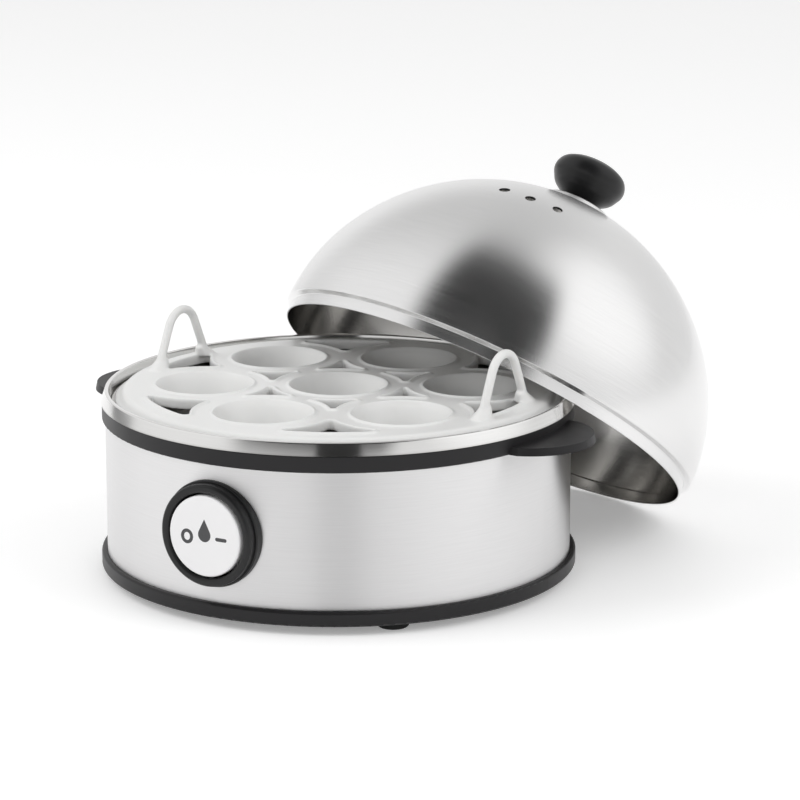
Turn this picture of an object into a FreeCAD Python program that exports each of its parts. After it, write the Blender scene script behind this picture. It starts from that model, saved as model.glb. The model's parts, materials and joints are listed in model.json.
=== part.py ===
import FreeCAD, Part
import math
import os
import re
import Sketcher
from FreeCAD import Placement, Rotation, Vector

# Electric egg cooker: round base with a water pan, perforated egg tray and domed lid.
# +Z is up, the floor is z = 0 and the base axis is the Z axis.
# The round control faces -Y and the two side ears lie along X.
# The lid is off the pan: its neck leans on the pan rim and its lowest point stands on the floor.

document = FreeCAD.newDocument("egg_cooker")
sizes = document.addObject("Spreadsheet::Sheet", "Sizes")
# Sizes in millimetres; a name that ends in angle is in degrees
SIZES = {
    # General
    "overrun": 2.0,
    "running_gap": 0.3,
    "slip_gap": 0.2,
    "thread_gap": 0.1,
    # Feet
    "foot_radius": 5.4,
    "foot_thickness": 4.0,
    "foot_edge": 1.2,
    "foot_peg_radius": 2.5,
    "foot_barb": 0.6,
    "foot_barb_length": 1.6,
    "foot_inset": 7.0,
    "foot_angle": 45.0,
    # Base cover
    "cover_thickness": 2.4,
    "skirt_overhang": 2.0,
    "skirt_drop": 1.1,
    "skirt_top": 8.0,
    "skirt_edge": 0.8,
    "cover_spigot_height": 6.0,
    "spigot_wall": 2.0,
    "vent_length": 16.0,
    "vent_width": 3.0,
    "vent_ring_radius": 34.0,
    "plate_recess_length": 36.0,
    "plate_recess_width": 20.0,
    "plate_recess_depth": 0.4,
    "plate_recess_inset": 24.0,
    # Steel band
    "band_radius": 80.0,
    "band_wall": 0.6,
    "band_bottom": 6.0,
    "band_top": 56.5,
    # Top ring with ears
    "ring_overhang": 1.1,
    "ring_bottom": 54.5,
    "ring_top": 60.1,
    "ring_lip_width": 2.2,
    "ring_lip_height": 1.9,
    "ring_flange_thickness": 2.4,
    "ring_flange_clearance": 2.4,
    "ring_skirt_depth": 4.5,
    "ring_edge": 0.4,
    "ear_length": 15.2,
    "ear_root_half_width": 21.3,
    "ear_tip_half_width": 16.2,
    "ear_thickness": 2.6,
    "ear_corner": 22.0,
    "ear_draft_angle": 12.0,
    "post_radius": 4.0,
    "post_bore_radius": 1.5,
    "post_bore_depth": 20.0,
    "post_inset": 7.4,
    "post_angle": 25.0,
    # Base screws
    "screw_shank_radius": 1.4,
    "screw_length": 16.0,
    "screw_head_radius": 3.0,
    "screw_head_height": 1.1,
    "screw_slot_width": 0.9,
    "screw_slot_depth": 0.6,
    # Boiling pan and its seal
    "pan_sheet": 0.7,
    "pan_floor": 41.0,
    "pan_draft": 3.5,
    "pan_shelf_width": 12.0,
    "pan_shelf": 59.6,
    "pan_rim_inset": 2.0,
    "pan_rim_crest": 1.7,
    "pan_rim_centre": 62.6,
    "pan_floor_corner": 5.0,
    "pan_shelf_corner": 1.4,
    "pan_rim_corner": 0.8,
    "seal_inset": 3.0,
    "seal_width": 4.5,
    # Heater under the pan
    "spreader_radius": 52.0,
    "spreader_thickness": 3.0,
    "element_ring_radius": 42.0,
    "element_tube_radius": 3.2,
    "element_gap_angle": 50.0,
    "element_leg_length": 9.0,
    "element_pin_radius": 1.2,
    "element_pin_length": 6.0,
    "element_clearance": 0.1,
    "thermostat_radius": 8.0,
    "thermostat_height": 9.0,
    "thermostat_offset": 22.0,
    "thermostat_flange_length": 15.0,
    "thermostat_flange_width": 5.0,
    "thermostat_flange_thickness": 1.4,
    "thermostat_screw_place": 12.0,
    "thermostat_blade_length": 5.0,
    "thermostat_blade_width": 4.0,
    "thermostat_blade_thickness": 0.8,
    "fuse_radius": 2.2,
    "fuse_length": 24.0,
    "fuse_offset": 20.0,
    "clip_sheet": 0.6,
    "clip_width": 8.0,
    "clip_foot": 5.0,
    # Pan hold-down
    "stud_radius": 2.5,
    "stud_flange_radius": 7.0,
    "stud_flange_thickness": 1.4,
    "stud_length": 20.0,
    "bridge_sheet": 1.5,
    "bridge_width": 16.0,
    "bridge_height": 24.0,
    "bridge_rise_inset": 7.0,
    "bridge_tab_overhang": 3.8,
    "bridge_tab_height": 42.4,
    "bridge_screw_length": 10.0,
    "nut_half_width": 4.0,
    "nut_height": 4.0,
    "washer_radius": 6.0,
    "washer_thickness": 1.0,
    # Control on the front
    "control_height": 31.3,
    "bezel_radius": 17.2,
    "bezel_bore_radius": 14.3,
    "bezel_barrel_radius": 15.6,
    "bezel_face": 4.6,
    "bezel_face_edge": 1.1,
    "bezel_collar": 1.2,
    "bezel_collar_radius": 18.0,
    "bezel_depth": 10.0,
    "bezel_back_wall": 1.5,
    "disc_radius": 13.6,
    "disc_face": 4.9,
    "disc_thickness": 6.4,
    "disc_edge": 0.7,
    "pivot_depth": 0.5,
    "pivot_radius": 1.0,
    "lens_radius": 2.4,
    "lens_height": 7.7,
    "lens_depth": 1.0,
    "lens_offset": 2.0,
    "plunger_radius": 1.5,
    "plunger_length": 10.0,
    "plunger_offset": 8.5,
    "switch_width": 24.0,
    "switch_height": 15.0,
    "switch_depth": 12.0,
    "switch_drop": 1.5,
    "blade_length": 5.0,
    "blade_width": 4.8,
    "blade_thickness": 0.8,
    "blade_spacing": 7.5,
    "lamp_radius": 1.8,
    "lamp_length": 5.0,
    # Mains inlet and terminals
    "inlet_height": 22.0,
    "inlet_turn_angle": 30.0,
    "inlet_barrel_radius": 4.9,
    "inlet_bore_radius": 3.4,
    "inlet_flange_radius": 7.0,
    "inlet_flange_thickness": 2.4,
    "inlet_grip_depth": 3.2,
    "block_length": 34.0,
    "block_width": 15.0,
    "block_height": 11.0,
    "block_inset": 32.0,
    "block_screw_radius": 2.0,
    "block_screw_length": 5.0,
    "block_pitch": 10.0,
    "block_entry_radius": 1.6,
    # Egg tray
    "tray_top": 64.2,
    "tray_turn_angle": 1.9,
    "tray_sheet": 1.6,
    "tray_inset": 3.5,
    "tray_edge": 2.4,
    "tray_flange_inset": 1.4,
    "tray_flange_top": 61.5,
    "seat_inset": 28.5,
    "seat_radius": 15.3,
    "seat_flare": 1.5,
    "seat_lip": 0.7,
    "seat_depth": 10.0,
    "seat_foot_radius": 11.4,
    "seat_ledge_width": 1.6,
    "seat_ledge_thickness": 1.4,
    "seat_wall": 1.5,
    "gap_lip_width": 1.3,
    "gap_lip_height": 0.7,
    "gap_wall_depth": 3.2,
    "inner_gap_tip": 0.6,
    "outer_gap_web": 1.6,
    "outer_gap_reach": 20.8,
    "outer_gap_apex": 1.3,
    "outer_gap_corner": 1.4,
    "loop_inset": 8.9,
    "loop_half_width": 14.3,
    "loop_tube_radius": 1.55,
    "loop_top": 84.7,
    "loop_arch_radius": 8.4,
    "loop_foot_radius": 3.6,
    "loop_foot_height": 5.0,
    # Lid
    "lid_sheet": 0.6,
    "neck_inset": 0.6,
    "neck_height": 4.0,
    "shoulder_rise": 0.8,
    "neck_shoulder": 2.0,
    "dome_wall_height": 5.8,
    "dome_peak": 2.0,
    "dome_flattening": 9.4,
    "boss_radius": 12.0,
    "boss_slope": 1.2,
    "boss_height": 1.0,
    "lid_screw_hole_radius": 2.0,
    "steam_hole_radius": 1.8,
    "steam_ring_radius": 48.8,
    "steam_angle": 116.3,
    "steam_step_angle": 12.3,
    "lean_tilt_angle": 35.5,
    "lean_turn_angle": 72.9,
    # Lid knob
    "knob_stem_radius": 6.0,
    "knob_stem_height": 1.2,
    "knob_under_radius": 11.4,
    "knob_under_height": 5.0,
    "knob_radius": 14.1,
    "knob_widest": 10.2,
    "knob_top_radius": 12.5,
    "knob_top_edge": 14.3,
    "knob_height": 16.7,
    "knob_dish_radius": 8.0,
    "knob_bore_depth": 11.0,
    "knob_screw_radius": 1.6,
    "knob_screw_head_radius": 3.8,
    "knob_screw_head_height": 2.4,
    "knob_washer_radius": 6.5,
    "knob_washer_thickness": 0.8,
}
# Sizes that follow from others: the steel band's radius sets the round pieces
sums = {
    "foot_ring_radius": "(band_radius - foot_inset)",
    "skirt_radius": "(band_radius + skirt_overhang)",
    "plate_recess_offset": "(band_radius - plate_recess_inset)",
    "block_offset": "(band_radius - block_inset)",
    "post_ring_radius": "(band_radius - post_inset)",
    "ring_radius": "(band_radius + ring_overhang)",
    "ear_reach": "(ring_radius + ear_length)",
    "pan_rim_inner": "(band_radius - pan_rim_inset)",
    "pan_wall_radius": "(pan_rim_inner - pan_shelf_width)",
    "pan_floor_radius": "(pan_wall_radius - pan_draft)",
    "ring_flange_radius": "(pan_wall_radius + ring_flange_clearance)",
    "seal_radius": "(pan_rim_inner - seal_inset)",
    "bridge_rise_radius": "(post_ring_radius - bridge_rise_inset)",
    "bridge_tab_radius": "(post_ring_radius + bridge_tab_overhang)",
    "tray_radius": "(pan_rim_inner - tray_inset)",
    "tray_flange_radius": "(pan_rim_inner - tray_flange_inset)",
    "seat_ring_radius": "(tray_radius - seat_inset)",
    "inner_gap_margin": "(seat_ring_radius / 2)",
    "outer_gap_margin": "(seat_ring_radius / 2 + outer_gap_web)",
    "outer_gap_radius": "(seat_ring_radius + outer_gap_reach)",
    "loop_place": "(tray_radius - loop_inset)",
    "neck_radius": "(pan_rim_inner - neck_inset)",
    "dome_radius": "(neck_radius + neck_shoulder)",
    "dome_apex": "(dome_radius + dome_peak)",
    "dome_shoulder_radius": "(dome_radius - dome_flattening)",
}
# Shares of the size that each one follows
shape_shares = {
    "rim_roll_share": 0.98,
    "rim_inner_roll_share": 0.96,
    "blind_hole_share": 0.8,
    "blind_screw_share": 0.7,
    "small_head_share": 0.9,
    "clip_bend_share": 0.8,
    "clip_inner_bend_share": 0.5,
    "collar_round_share": 0.4,
    "blade_spread_share": 0.6,
    "plunger_bore_share": 0.4,
    "terminal_thread_share": 0.8,
    "gap_lip_round_share": 0.42,
    "seat_lip_round_share": 0.8,
    "loop_foot_lean_share": 0.22,
    "knob_screw_reach_share": 0.9,
}
names = set(SIZES) | set(shape_shares)
for row, (name, value) in enumerate([*SIZES.items(), *shape_shares.items()], start=1):
    sizes.set(f"A{row}", name)
    sizes.set(f"B{row}", str(value))
    sizes.setAlias(f"B{row}", name)
document.recompute()


def sheet_text(text):
    """Turn the size names in a sum into references to their cells."""
    def reference(found):
        word = found.group()
        if word in sums:
            return sheet_text(sums[word])
        if word in names:
            return "Sizes." + word
        return word
    return re.sub(r"[a-z_]{2,}", reference, text)


def number(text):
    """The present value of a sum of named sizes."""
    result = sizes.evalExpression(sheet_text(text))
    if hasattr(result, "Value"):
        result = result.Value
    return float(result)


# Sums that several pieces share
cover_bottom = "foot_thickness"
cover_top = "(foot_thickness + cover_thickness)"
band_inside = "(band_radius - band_wall)"
groove_inner = "(band_radius - band_wall - slip_gap)"
groove_outer = "(band_radius + slip_gap)"
spigot_inside = "(band_radius - band_wall - slip_gap - spigot_wall)"
pan_bottom = "(pan_floor - pan_sheet)"
shelf_under = "(pan_shelf - pan_sheet)"
rim_crest_radius = "(pan_rim_inner + pan_rim_crest)"
rim_outside = "(pan_rim_inner + 2 * pan_rim_crest)"
seal_thickness = "(pan_shelf - pan_sheet - ring_top + ring_lip_height)"
flange_top = "(ring_top - ring_lip_height)"
flange_bottom = "(ring_top - ring_lip_height - ring_flange_thickness)"
spreader_bottom = "(pan_floor - pan_sheet - spreader_thickness)"
element_axis = "(pan_floor - pan_sheet - spreader_thickness - element_tube_radius - element_clearance)"
boss_top = "(dome_apex + boss_height)"
boss_under = "(dome_apex + boss_height - lid_sheet)"
tray_under = "(tray_top - tray_sheet)"
tray_flange_bottom = "(pan_shelf + running_gap)"


def new_body(name):
    body = document.addObject("PartDesign::Body", name)
    body.Label = name
    return body


def origin_plane(body, role):
    for item in body.Origin.OriginFeatures:
        if item.Role == role:
            return item
    raise ValueError(role)


def new_sketch(body, name, role, height=None):
    sketch = body.newObject("Sketcher::SketchObject", name)
    sketch.AttachmentSupport = [(origin_plane(body, role), "")]
    sketch.MapMode = "FlatFace"
    if height is not None:
        sketch.setExpression("AttachmentOffset.Base.z", sheet_text(height))
    return sketch


def fix_point(sketch, edge, end, across, up):
    """Hold one end of an edge at a place given in named sizes."""
    for kind, axis, text in (("DistanceX", -2, across), ("DistanceY", -1, up)):
        if text == "0":
            sketch.addConstraint(Sketcher.Constraint("PointOnObject", edge, end, axis))
        else:
            index = sketch.addConstraint(Sketcher.Constraint(kind, -1, 1, edge, end, number(text)))
            sketch.setExpression(f"Constraints[{index}]", sheet_text(text))


def add_arc(sketch, centre, one, other):
    """Add the shorter arc between two points and say which of its ends is the first point."""
    one_angle = math.atan2(one.y - centre.y, one.x - centre.x)
    other_angle = math.atan2(other.y - centre.y, other.x - centre.x)
    sweep = (other_angle - one_angle) % (2 * math.pi)
    circle = Part.Circle(centre, Vector(0, 0, 1), (one - centre).Length)
    if sweep <= math.pi:
        return sketch.addGeometry(Part.ArcOfCircle(circle, one_angle, one_angle + sweep), False), 1
    sweep = 2 * math.pi - sweep
    return sketch.addGeometry(Part.ArcOfCircle(circle, other_angle, other_angle + sweep), False), 2


def draw_outline(sketch, outline):
    """Close an outline of corners (across, up) or rounded corners (across, up, radius)."""
    corners = [Vector(number(corner[0]), number(corner[1]), 0) for corner in outline]
    count = len(outline)
    entries = []
    for index, corner in enumerate(outline):
        here = corners[index]
        if len(corner) == 2:
            entries.append((here, here, None, corner, corner))
            continue
        radius = number(corner[2])
        back = (corners[index - 1] - here).normalize()
        ahead = (corners[(index + 1) % count] - here).normalize()
        half_turn = back.getAngle(ahead) / 2
        reach_share = 1 / math.tan(half_turn)
        start = here + back * radius * reach_share
        end = here + ahead * radius * reach_share
        centre = here + (back + ahead).normalize() * (radius / math.sin(half_turn))
        texts = []
        for direction in (back, ahead):
            texts.append(tuple(
                f"{text} + {reach_share * part:.12f} * ({corner[2]})" if abs(part) > 1e-9 else text
                for text, part in zip(corner, (direction.x, direction.y))))
        entries.append((start, end, centre, texts[0], texts[1]))
    lines = []
    for index in range(count):
        start = entries[index][1]
        end = entries[(index + 1) % count][0]
        lines.append(sketch.addGeometry(Part.LineSegment(start, end), False))
    for index, corner in enumerate(outline):
        before = lines[index - 1]
        after = lines[index]
        start, end, centre, start_text, end_text = entries[index]
        fix_point(sketch, after, 1, end_text[0], end_text[1])
        if centre is None:
            sketch.addConstraint(Sketcher.Constraint("Coincident", before, 2, after, 1))
            continue
        fix_point(sketch, before, 2, start_text[0], start_text[1])
        arc, arc_start = add_arc(sketch, centre, start, end)
        sketch.addConstraint(Sketcher.Constraint("Coincident", before, 2, arc, arc_start))
        sketch.addConstraint(Sketcher.Constraint("Coincident", after, 1, arc, 3 - arc_start))
        rounding = sketch.addConstraint(Sketcher.Constraint("Radius", arc, number(corner[2])))
        sketch.setExpression(f"Constraints[{rounding}]", sheet_text(corner[2]))


def draw_circles(sketch, places, radius):
    for across, up in places:
        centre = Vector(number(across), number(up), 0)
        circle = sketch.addGeometry(Part.Circle(centre, Vector(0, 0, 1), number(radius)), False)
        index = sketch.addConstraint(Sketcher.Constraint("Radius", circle, number(radius)))
        sketch.setExpression(f"Constraints[{index}]", sheet_text(radius))
        if across == "0" and up == "0":
            sketch.addConstraint(Sketcher.Constraint("Coincident", circle, 3, -1, 1))
        else:
            fix_point(sketch, circle, 3, across, up)


def turned(name, outline):
    """A body of revolution about Z from an outline of (radius, height) corners."""
    body = new_body(name)
    sketch = new_sketch(body, name + "_outline", "XZ_Plane")
    draw_outline(sketch, outline)
    solid = body.newObject("PartDesign::Revolution", name + "_turned")
    solid.Profile = sketch
    solid.ReferenceAxis = (sketch, ["V_Axis"])
    solid.Angle = 360
    sketch.Visibility = False
    document.recompute()
    return body


def add_pad(body, sketch, length, name, reverse=False, middle=False):
    before = 0.0
    if not body.Shape.isNull():
        before = body.Shape.Volume
    pad = body.newObject("PartDesign::Pad", name)
    pad.Profile = sketch
    pad.Reversed = reverse
    if middle:
        pad.Midplane = True
    pad.setExpression("Length", sheet_text(length))
    document.recompute()
    if body.Shape.Volume <= before:
        raise RuntimeError(name + " adds nothing")
    return pad


def add_pocket(body, sketch, depth, name, reverse=False):
    before = body.Shape.Volume
    pocket = body.newObject("PartDesign::Pocket", name)
    pocket.Profile = sketch
    pocket.Reversed = reverse
    pocket.setExpression("Length", sheet_text(depth))
    document.recompute()
    if body.Shape.Volume >= before:
        raise RuntimeError(name + " cuts nothing")
    return pocket


def repeat_about_axis(body, feature, count, name):
    pattern = body.newObject("PartDesign::PolarPattern", name)
    pattern.Originals = [feature]
    pattern.Axis = (feature.Profile[0], ["N_Axis"])
    pattern.Angle = 360
    pattern.Occurrences = count
    body.Tip = pattern
    document.recompute()
    return pattern


def drill(body, name, height, places, radius, depth, upward=False):
    """Round holes from one height, downward unless told otherwise."""
    sketch = new_sketch(body, name + "_circles", "XY_Plane", height)
    draw_circles(sketch, places, radius)
    return add_pocket(body, sketch, depth, name, upward)


def around(radius, angles):
    """Places on a circle at angles given as sums."""
    return [(f"{radius} * cos({angle})", f"{radius} * sin({angle})") for angle in angles]


def cylinder(name, radius, length, centre=("0", "0", "0"), axis=(0, 0, 1)):
    """A plain cylinder from a centre along an axis."""
    solid = document.addObject("Part::Cylinder", name)
    solid.setExpression("Radius", sheet_text(radius))
    solid.setExpression("Height", sheet_text(length))
    solid.Placement = Placement(Vector(0, 0, 0), Rotation(Vector(0, 0, 1), Vector(*axis)))
    for letter, text in zip("xyz", centre):
        if text != "0":
            solid.setExpression(f"Placement.Base.{letter}", sheet_text(text))
    return solid


def box(name, length, width, height, corner):
    solid = document.addObject("Part::Box", name)
    solid.setExpression("Length", sheet_text(length))
    solid.setExpression("Width", sheet_text(width))
    solid.setExpression("Height", sheet_text(height))
    for letter, text in zip("xyz", corner):
        if text != "0":
            solid.setExpression(f"Placement.Base.{letter}", sheet_text(text))
    return solid


def cut(name, base, tool):
    result = document.addObject("Part::Cut", name)
    result.Base = base
    result.Tool = tool
    document.recompute()
    if result.Shape.Volume >= base.Shape.Volume:
        raise RuntimeError(name + " cuts nothing")
    return result


def joined(name, shapes):
    result = document.addObject("Part::MultiFuse", name)
    result.Shapes = shapes
    result.Refine = True
    document.recompute()
    return result


def gathered(name, shapes):
    """Several separate solids of one kind kept as one group."""
    result = document.addObject("Part::Compound", name)
    result.Links = shapes
    document.recompute()
    return result


def plain_feature(name, shape, placement=None):
    feature = document.addObject("Part::Feature", name)
    feature.Shape = shape
    if placement is not None:
        feature.Placement = placement
    document.recompute()
    return feature


nodes = {}

# Base cover: plate, skirt, groove for the band and a spigot inside it
post_angles = ["post_angle", "180 - post_angle", "180 + post_angle", "360 - post_angle"]
foot_angles = {
    "foot_back_right": "foot_angle",
    "foot_back_left": "180 - foot_angle",
    "foot_front_left": "180 + foot_angle",
    "foot_front_right": "360 - foot_angle",
}
skirt_inside = "(band_radius - 2 * slip_gap)"
cover = turned("base_cover", [
    ("0", cover_bottom),
    (skirt_inside, cover_bottom),
    (skirt_inside, "foot_thickness - skirt_drop"),
    ("skirt_radius", "foot_thickness - skirt_drop", "skirt_edge"),
    ("skirt_radius", "skirt_top", "skirt_edge"),
    (groove_outer, "skirt_top"),
    (groove_outer, "band_bottom"),
    (groove_inner, "band_bottom"),
    (groove_inner, "skirt_top + cover_spigot_height"),
    (spigot_inside, "skirt_top + cover_spigot_height"),
    (spigot_inside, cover_top),
    ("0", cover_top),
])
through = "cover_thickness + 2 * overrun"
above = cover_top + " + overrun"
drill(cover, "screw_holes", above, around("post_ring_radius", post_angles),
      "screw_shank_radius + thread_gap", through)
drill(cover, "screw_recesses", "foot_thickness + screw_head_height",
      around("post_ring_radius", post_angles), "screw_head_radius + slip_gap",
      "screw_head_height + overrun")
drill(cover, "foot_holes", above, around("foot_ring_radius", foot_angles.values()),
      "foot_peg_radius + thread_gap", through)
vent = new_sketch(cover, "vent_outline", "XY_Plane", above)
draw_outline(vent, [
    ("vent_ring_radius - vent_length / 2", "-vent_width / 2"),
    ("vent_ring_radius + vent_length / 2", "-vent_width / 2"),
    ("vent_ring_radius + vent_length / 2", "vent_width / 2"),
    ("vent_ring_radius - vent_length / 2", "vent_width / 2"),
])
vent_cut = add_pocket(cover, vent, through, "vent_slot")
repeat_about_axis(cover, vent_cut, 12, "vent_slots")
recess = new_sketch(cover, "plate_recess_outline", "XY_Plane", "foot_thickness + plate_recess_depth")
draw_outline(recess, [
    ("-plate_recess_length / 2", "-plate_recess_offset - plate_recess_width / 2"),
    ("plate_recess_length / 2", "-plate_recess_offset - plate_recess_width / 2"),
    ("plate_recess_length / 2", "-plate_recess_offset + plate_recess_width / 2"),
    ("-plate_recess_length / 2", "-plate_recess_offset + plate_recess_width / 2"),
])
add_pocket(cover, recess, "plate_recess_depth + overrun", "plate_recess")
nodes["base_cover"] = cover

# Feet with pegs pressed through the cover
for foot_name, angle in foot_angles.items():
    foot = turned(foot_name, [
        ("0", "0"),
        ("foot_radius", "0", "foot_edge"),
        ("foot_radius", "foot_thickness"),
        ("foot_peg_radius", "foot_thickness"),
        ("foot_peg_radius", cover_top + " + thread_gap"),
        ("foot_peg_radius + foot_barb", cover_top + " + thread_gap"),
        ("foot_peg_radius", cover_top + " + thread_gap + foot_barb_length"),
        ("0", cover_top + " + thread_gap + foot_barb_length"),
    ])
    foot.setExpression("Placement.Base.x", sheet_text(f"foot_ring_radius * cos({angle})"))
    foot.setExpression("Placement.Base.y", sheet_text(f"foot_ring_radius * sin({angle})"))
    nodes[foot_name] = foot

# Steel band with its front and back openings
band_height = "band_top - band_bottom"
band_tube = cut("band_tube",
                cylinder("band_outside", "band_radius", band_height, ("0", "0", "band_bottom")),
                cylinder("band_bore", band_inside, band_height + " + 2 * overrun",
                         ("0", "0", "band_bottom - overrun")))
front_hole = cylinder("band_front_hole", "bezel_barrel_radius + slip_gap", "band_radius",
                      ("0", "0", "control_height"), (0, -1, 0))
front_hole.setExpression("Placement.Base.y", sheet_text("-overrun"))
inlet_turn = Rotation(Vector(0, 0, 1), number("inlet_turn_angle"))
inlet_way = inlet_turn.multVec(Vector(0, 1, 0))
back_hole = cylinder("band_back_hole", "inlet_barrel_radius + slip_gap", "band_radius + overrun",
                     ("0", "0", "inlet_height"), (inlet_way.x, inlet_way.y, 0))
band_front = cut("band_with_front_hole", band_tube, front_hole)
nodes["steel_band"] = cut("steel_band", band_front, back_hole)

# Top ring: outer wall, flange for the pan, ears at the sides and screw posts
ring = turned("top_ring", [
    ("ring_flange_radius", flange_bottom),
    (spigot_inside, flange_bottom),
    (spigot_inside, "ring_bottom - ring_skirt_depth"),
    (groove_inner, "ring_bottom - ring_skirt_depth"),
    (groove_inner, "ring_bottom"),
    ("ring_radius", "ring_bottom", "ring_edge"),
    ("ring_radius", "ring_top", "ring_edge"),
    ("ring_radius - ring_lip_width", "ring_top"),
    ("ring_radius - ring_lip_width", flange_top),
    ("ring_flange_radius", flange_top),
])
ear_inside = f"({spigot_inside} + slip_gap)"
for side, sign, other in (("right", "", "-"), ("left", "-", "")):
    ear = new_sketch(ring, f"ear_{side}_outline", "XY_Plane", "ring_bottom")
    draw_outline(ear, [
        (f"{sign}{ear_inside}", f"{other}ear_root_half_width"),
        (f"{sign}ring_radius", f"{other}ear_root_half_width"),
        (f"{sign}ear_reach", f"{other}ear_tip_half_width", "ear_corner"),
        (f"{sign}ear_reach", f"{sign}ear_tip_half_width", "ear_corner"),
        (f"{sign}ring_radius", f"{sign}ear_root_half_width"),
        (f"{sign}{ear_inside}", f"{sign}ear_root_half_width"),
    ])
    ear_pad = add_pad(ring, ear, "ear_thickness", f"ear_{side}")
    ear_pad.setExpression("TaperAngle", sheet_text("-ear_draft_angle"))
    document.recompute()
posts = new_sketch(ring, "post_circles", "XY_Plane", cover_top)
draw_circles(posts, around("post_ring_radius", post_angles), "post_radius")
add_pad(ring, posts, flange_bottom + " - " + cover_top + " + ring_flange_thickness / 2", "posts")
lugs = new_sketch(ring, "lug_circles", "XY_Plane", "bridge_tab_height + bridge_sheet")
draw_circles(lugs, [("post_ring_radius", "0"), ("-post_ring_radius", "0")], "post_radius")
add_pad(ring, lugs, flange_bottom + " - bridge_tab_height - bridge_sheet + ring_flange_thickness / 2",
        "bridge_lugs")
drill(ring, "post_bores", cover_top + " - overrun", around("post_ring_radius", post_angles),
      "post_bore_radius", "post_bore_depth + overrun", True)
drill(ring, "lug_bores", "bridge_tab_height", [("post_ring_radius", "0"), ("-post_ring_radius", "0")],
      "post_bore_radius", "bridge_sheet + bridge_screw_length + thread_gap", True)
band_groove = new_sketch(ring, "band_groove_outline", "XZ_Plane")
draw_outline(band_groove, [
    (groove_inner, "ring_bottom - overrun"),
    (groove_outer, "ring_bottom - overrun"),
    (groove_outer, "band_top + running_gap"),
    (groove_inner, "band_top + running_gap"),
])
ring_volume = ring.Shape.Volume
groove = ring.newObject("PartDesign::Groove", "band_groove")
groove.Profile = band_groove
groove.ReferenceAxis = (band_groove, ["V_Axis"])
groove.Angle = 360
document.recompute()
if ring.Shape.Volume >= ring_volume:
    raise RuntimeError("band_groove cuts nothing")
nodes["top_ring"] = ring


def pan_head_screw(name, length, shank, head_radius, head_height):
    """A screw with its shank upward from z = 0 and its head below."""
    screw = turned(name, [
        ("0", f"-({head_height})"),
        (head_radius, f"-({head_height})", "screw_slot_depth / 2"),
        (head_radius, "0"),
        (shank, "0"),
        (shank, f"{length} - {shank}"),
        (f"{shank} / 2", length),
        ("0", length),
    ])
    for turn, sizes_of_slot in (("a", (head_radius, "screw_slot_width")),
                                ("b", ("screw_slot_width", head_radius))):
        slot = new_sketch(screw, f"{name}_slot_{turn}", "XY_Plane", f"-({head_height}) - overrun")
        along, across = sizes_of_slot
        draw_outline(slot, [
            (f"-{along} / 2", f"-{across} / 2"),
            (f"{along} / 2", f"-{across} / 2"),
            (f"{along} / 2", f"{across} / 2"),
            (f"-{along} / 2", f"{across} / 2"),
        ])
        add_pocket(screw, slot, "screw_slot_depth + overrun", f"{name}_cut_{turn}", True)
    return screw


def copies(name, source, places):
    """Separate copies of one piece, grouped, at (x, y, z) places given as sums."""
    links = []
    for index, place in enumerate(places):
        copy = document.addObject("Part::Feature", f"{name}_{index + 1}")
        shape = source.Shape.copy()
        copy.Shape = shape
        for letter, text in zip("xyz", place):
            if text != "0":
                copy.setExpression(f"Placement.Base.{letter}", sheet_text(text))
        links.append(copy)
    return gathered(name, links)


base_screw = pan_head_screw("base_screw_form", "screw_length", "screw_shank_radius",
                            "screw_head_radius", "screw_head_height")
nodes["base_screws"] = copies("base_screws", base_screw, [
    (across, up, "foot_thickness + screw_head_height")
    for across, up in around("post_ring_radius", post_angles)])

# Boiling pan with its rolled rim, and the seal under its shelf
pan = turned("boiling_pan", [
    ("0", "pan_floor"),
    ("pan_floor_radius", "pan_floor", "pan_floor_corner"),
    ("pan_wall_radius", "pan_shelf", "pan_shelf_corner"),
    ("pan_rim_inner", "pan_shelf", "pan_rim_corner"),
    ("pan_rim_inner", "pan_rim_centre + pan_rim_crest", "pan_rim_crest * rim_roll_share"),
    (rim_outside, "pan_rim_centre + pan_rim_crest", "pan_rim_crest * rim_roll_share"),
    (rim_outside, "ring_top"),
    (rim_outside + " - pan_sheet", "ring_top"),
    (rim_outside + " - pan_sheet", "pan_rim_centre + pan_rim_crest - pan_sheet",
     "(pan_rim_crest - pan_sheet) * rim_inner_roll_share"),
    ("pan_rim_inner + pan_sheet", "pan_rim_centre + pan_rim_crest - pan_sheet",
     "(pan_rim_crest - pan_sheet) * rim_inner_roll_share"),
    ("pan_rim_inner + pan_sheet", shelf_under, "pan_rim_corner + pan_sheet"),
    ("pan_wall_radius + pan_sheet", shelf_under, "pan_shelf_corner - pan_sheet"),
    ("pan_floor_radius + pan_sheet", pan_bottom, "pan_floor_corner + pan_sheet"),
    ("0", pan_bottom),
])
nodes["boiling_pan"] = pan
nodes["pan_seal"] = cut(
    "pan_seal",
    cylinder("seal_outside", "seal_radius", seal_thickness, ("0", "0", flange_top)),
    cylinder("seal_inside", "seal_radius - seal_width", seal_thickness + " + 2 * overrun",
             ("0", "0", flange_top + " - overrun")))

# Heat spreader with the blind holes of the thermostat screws
spreader = new_body("spreader_plate")
spreader_sketch = new_sketch(spreader, "spreader_circle", "XY_Plane", spreader_bottom)
draw_circles(spreader_sketch, [("0", "0")], "spreader_radius")
add_pad(spreader, spreader_sketch, "spreader_thickness", "spreader_disc")
thermostat_places = [("thermostat_screw_place", "thermostat_offset"),
                     ("-thermostat_screw_place", "thermostat_offset")]
drill(spreader, "spreader_bores", spreader_bottom + " - overrun", thermostat_places,
      "screw_shank_radius + thread_gap", "spreader_thickness * blind_hole_share + overrun", True)
nodes["spreader_plate"] = spreader

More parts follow.
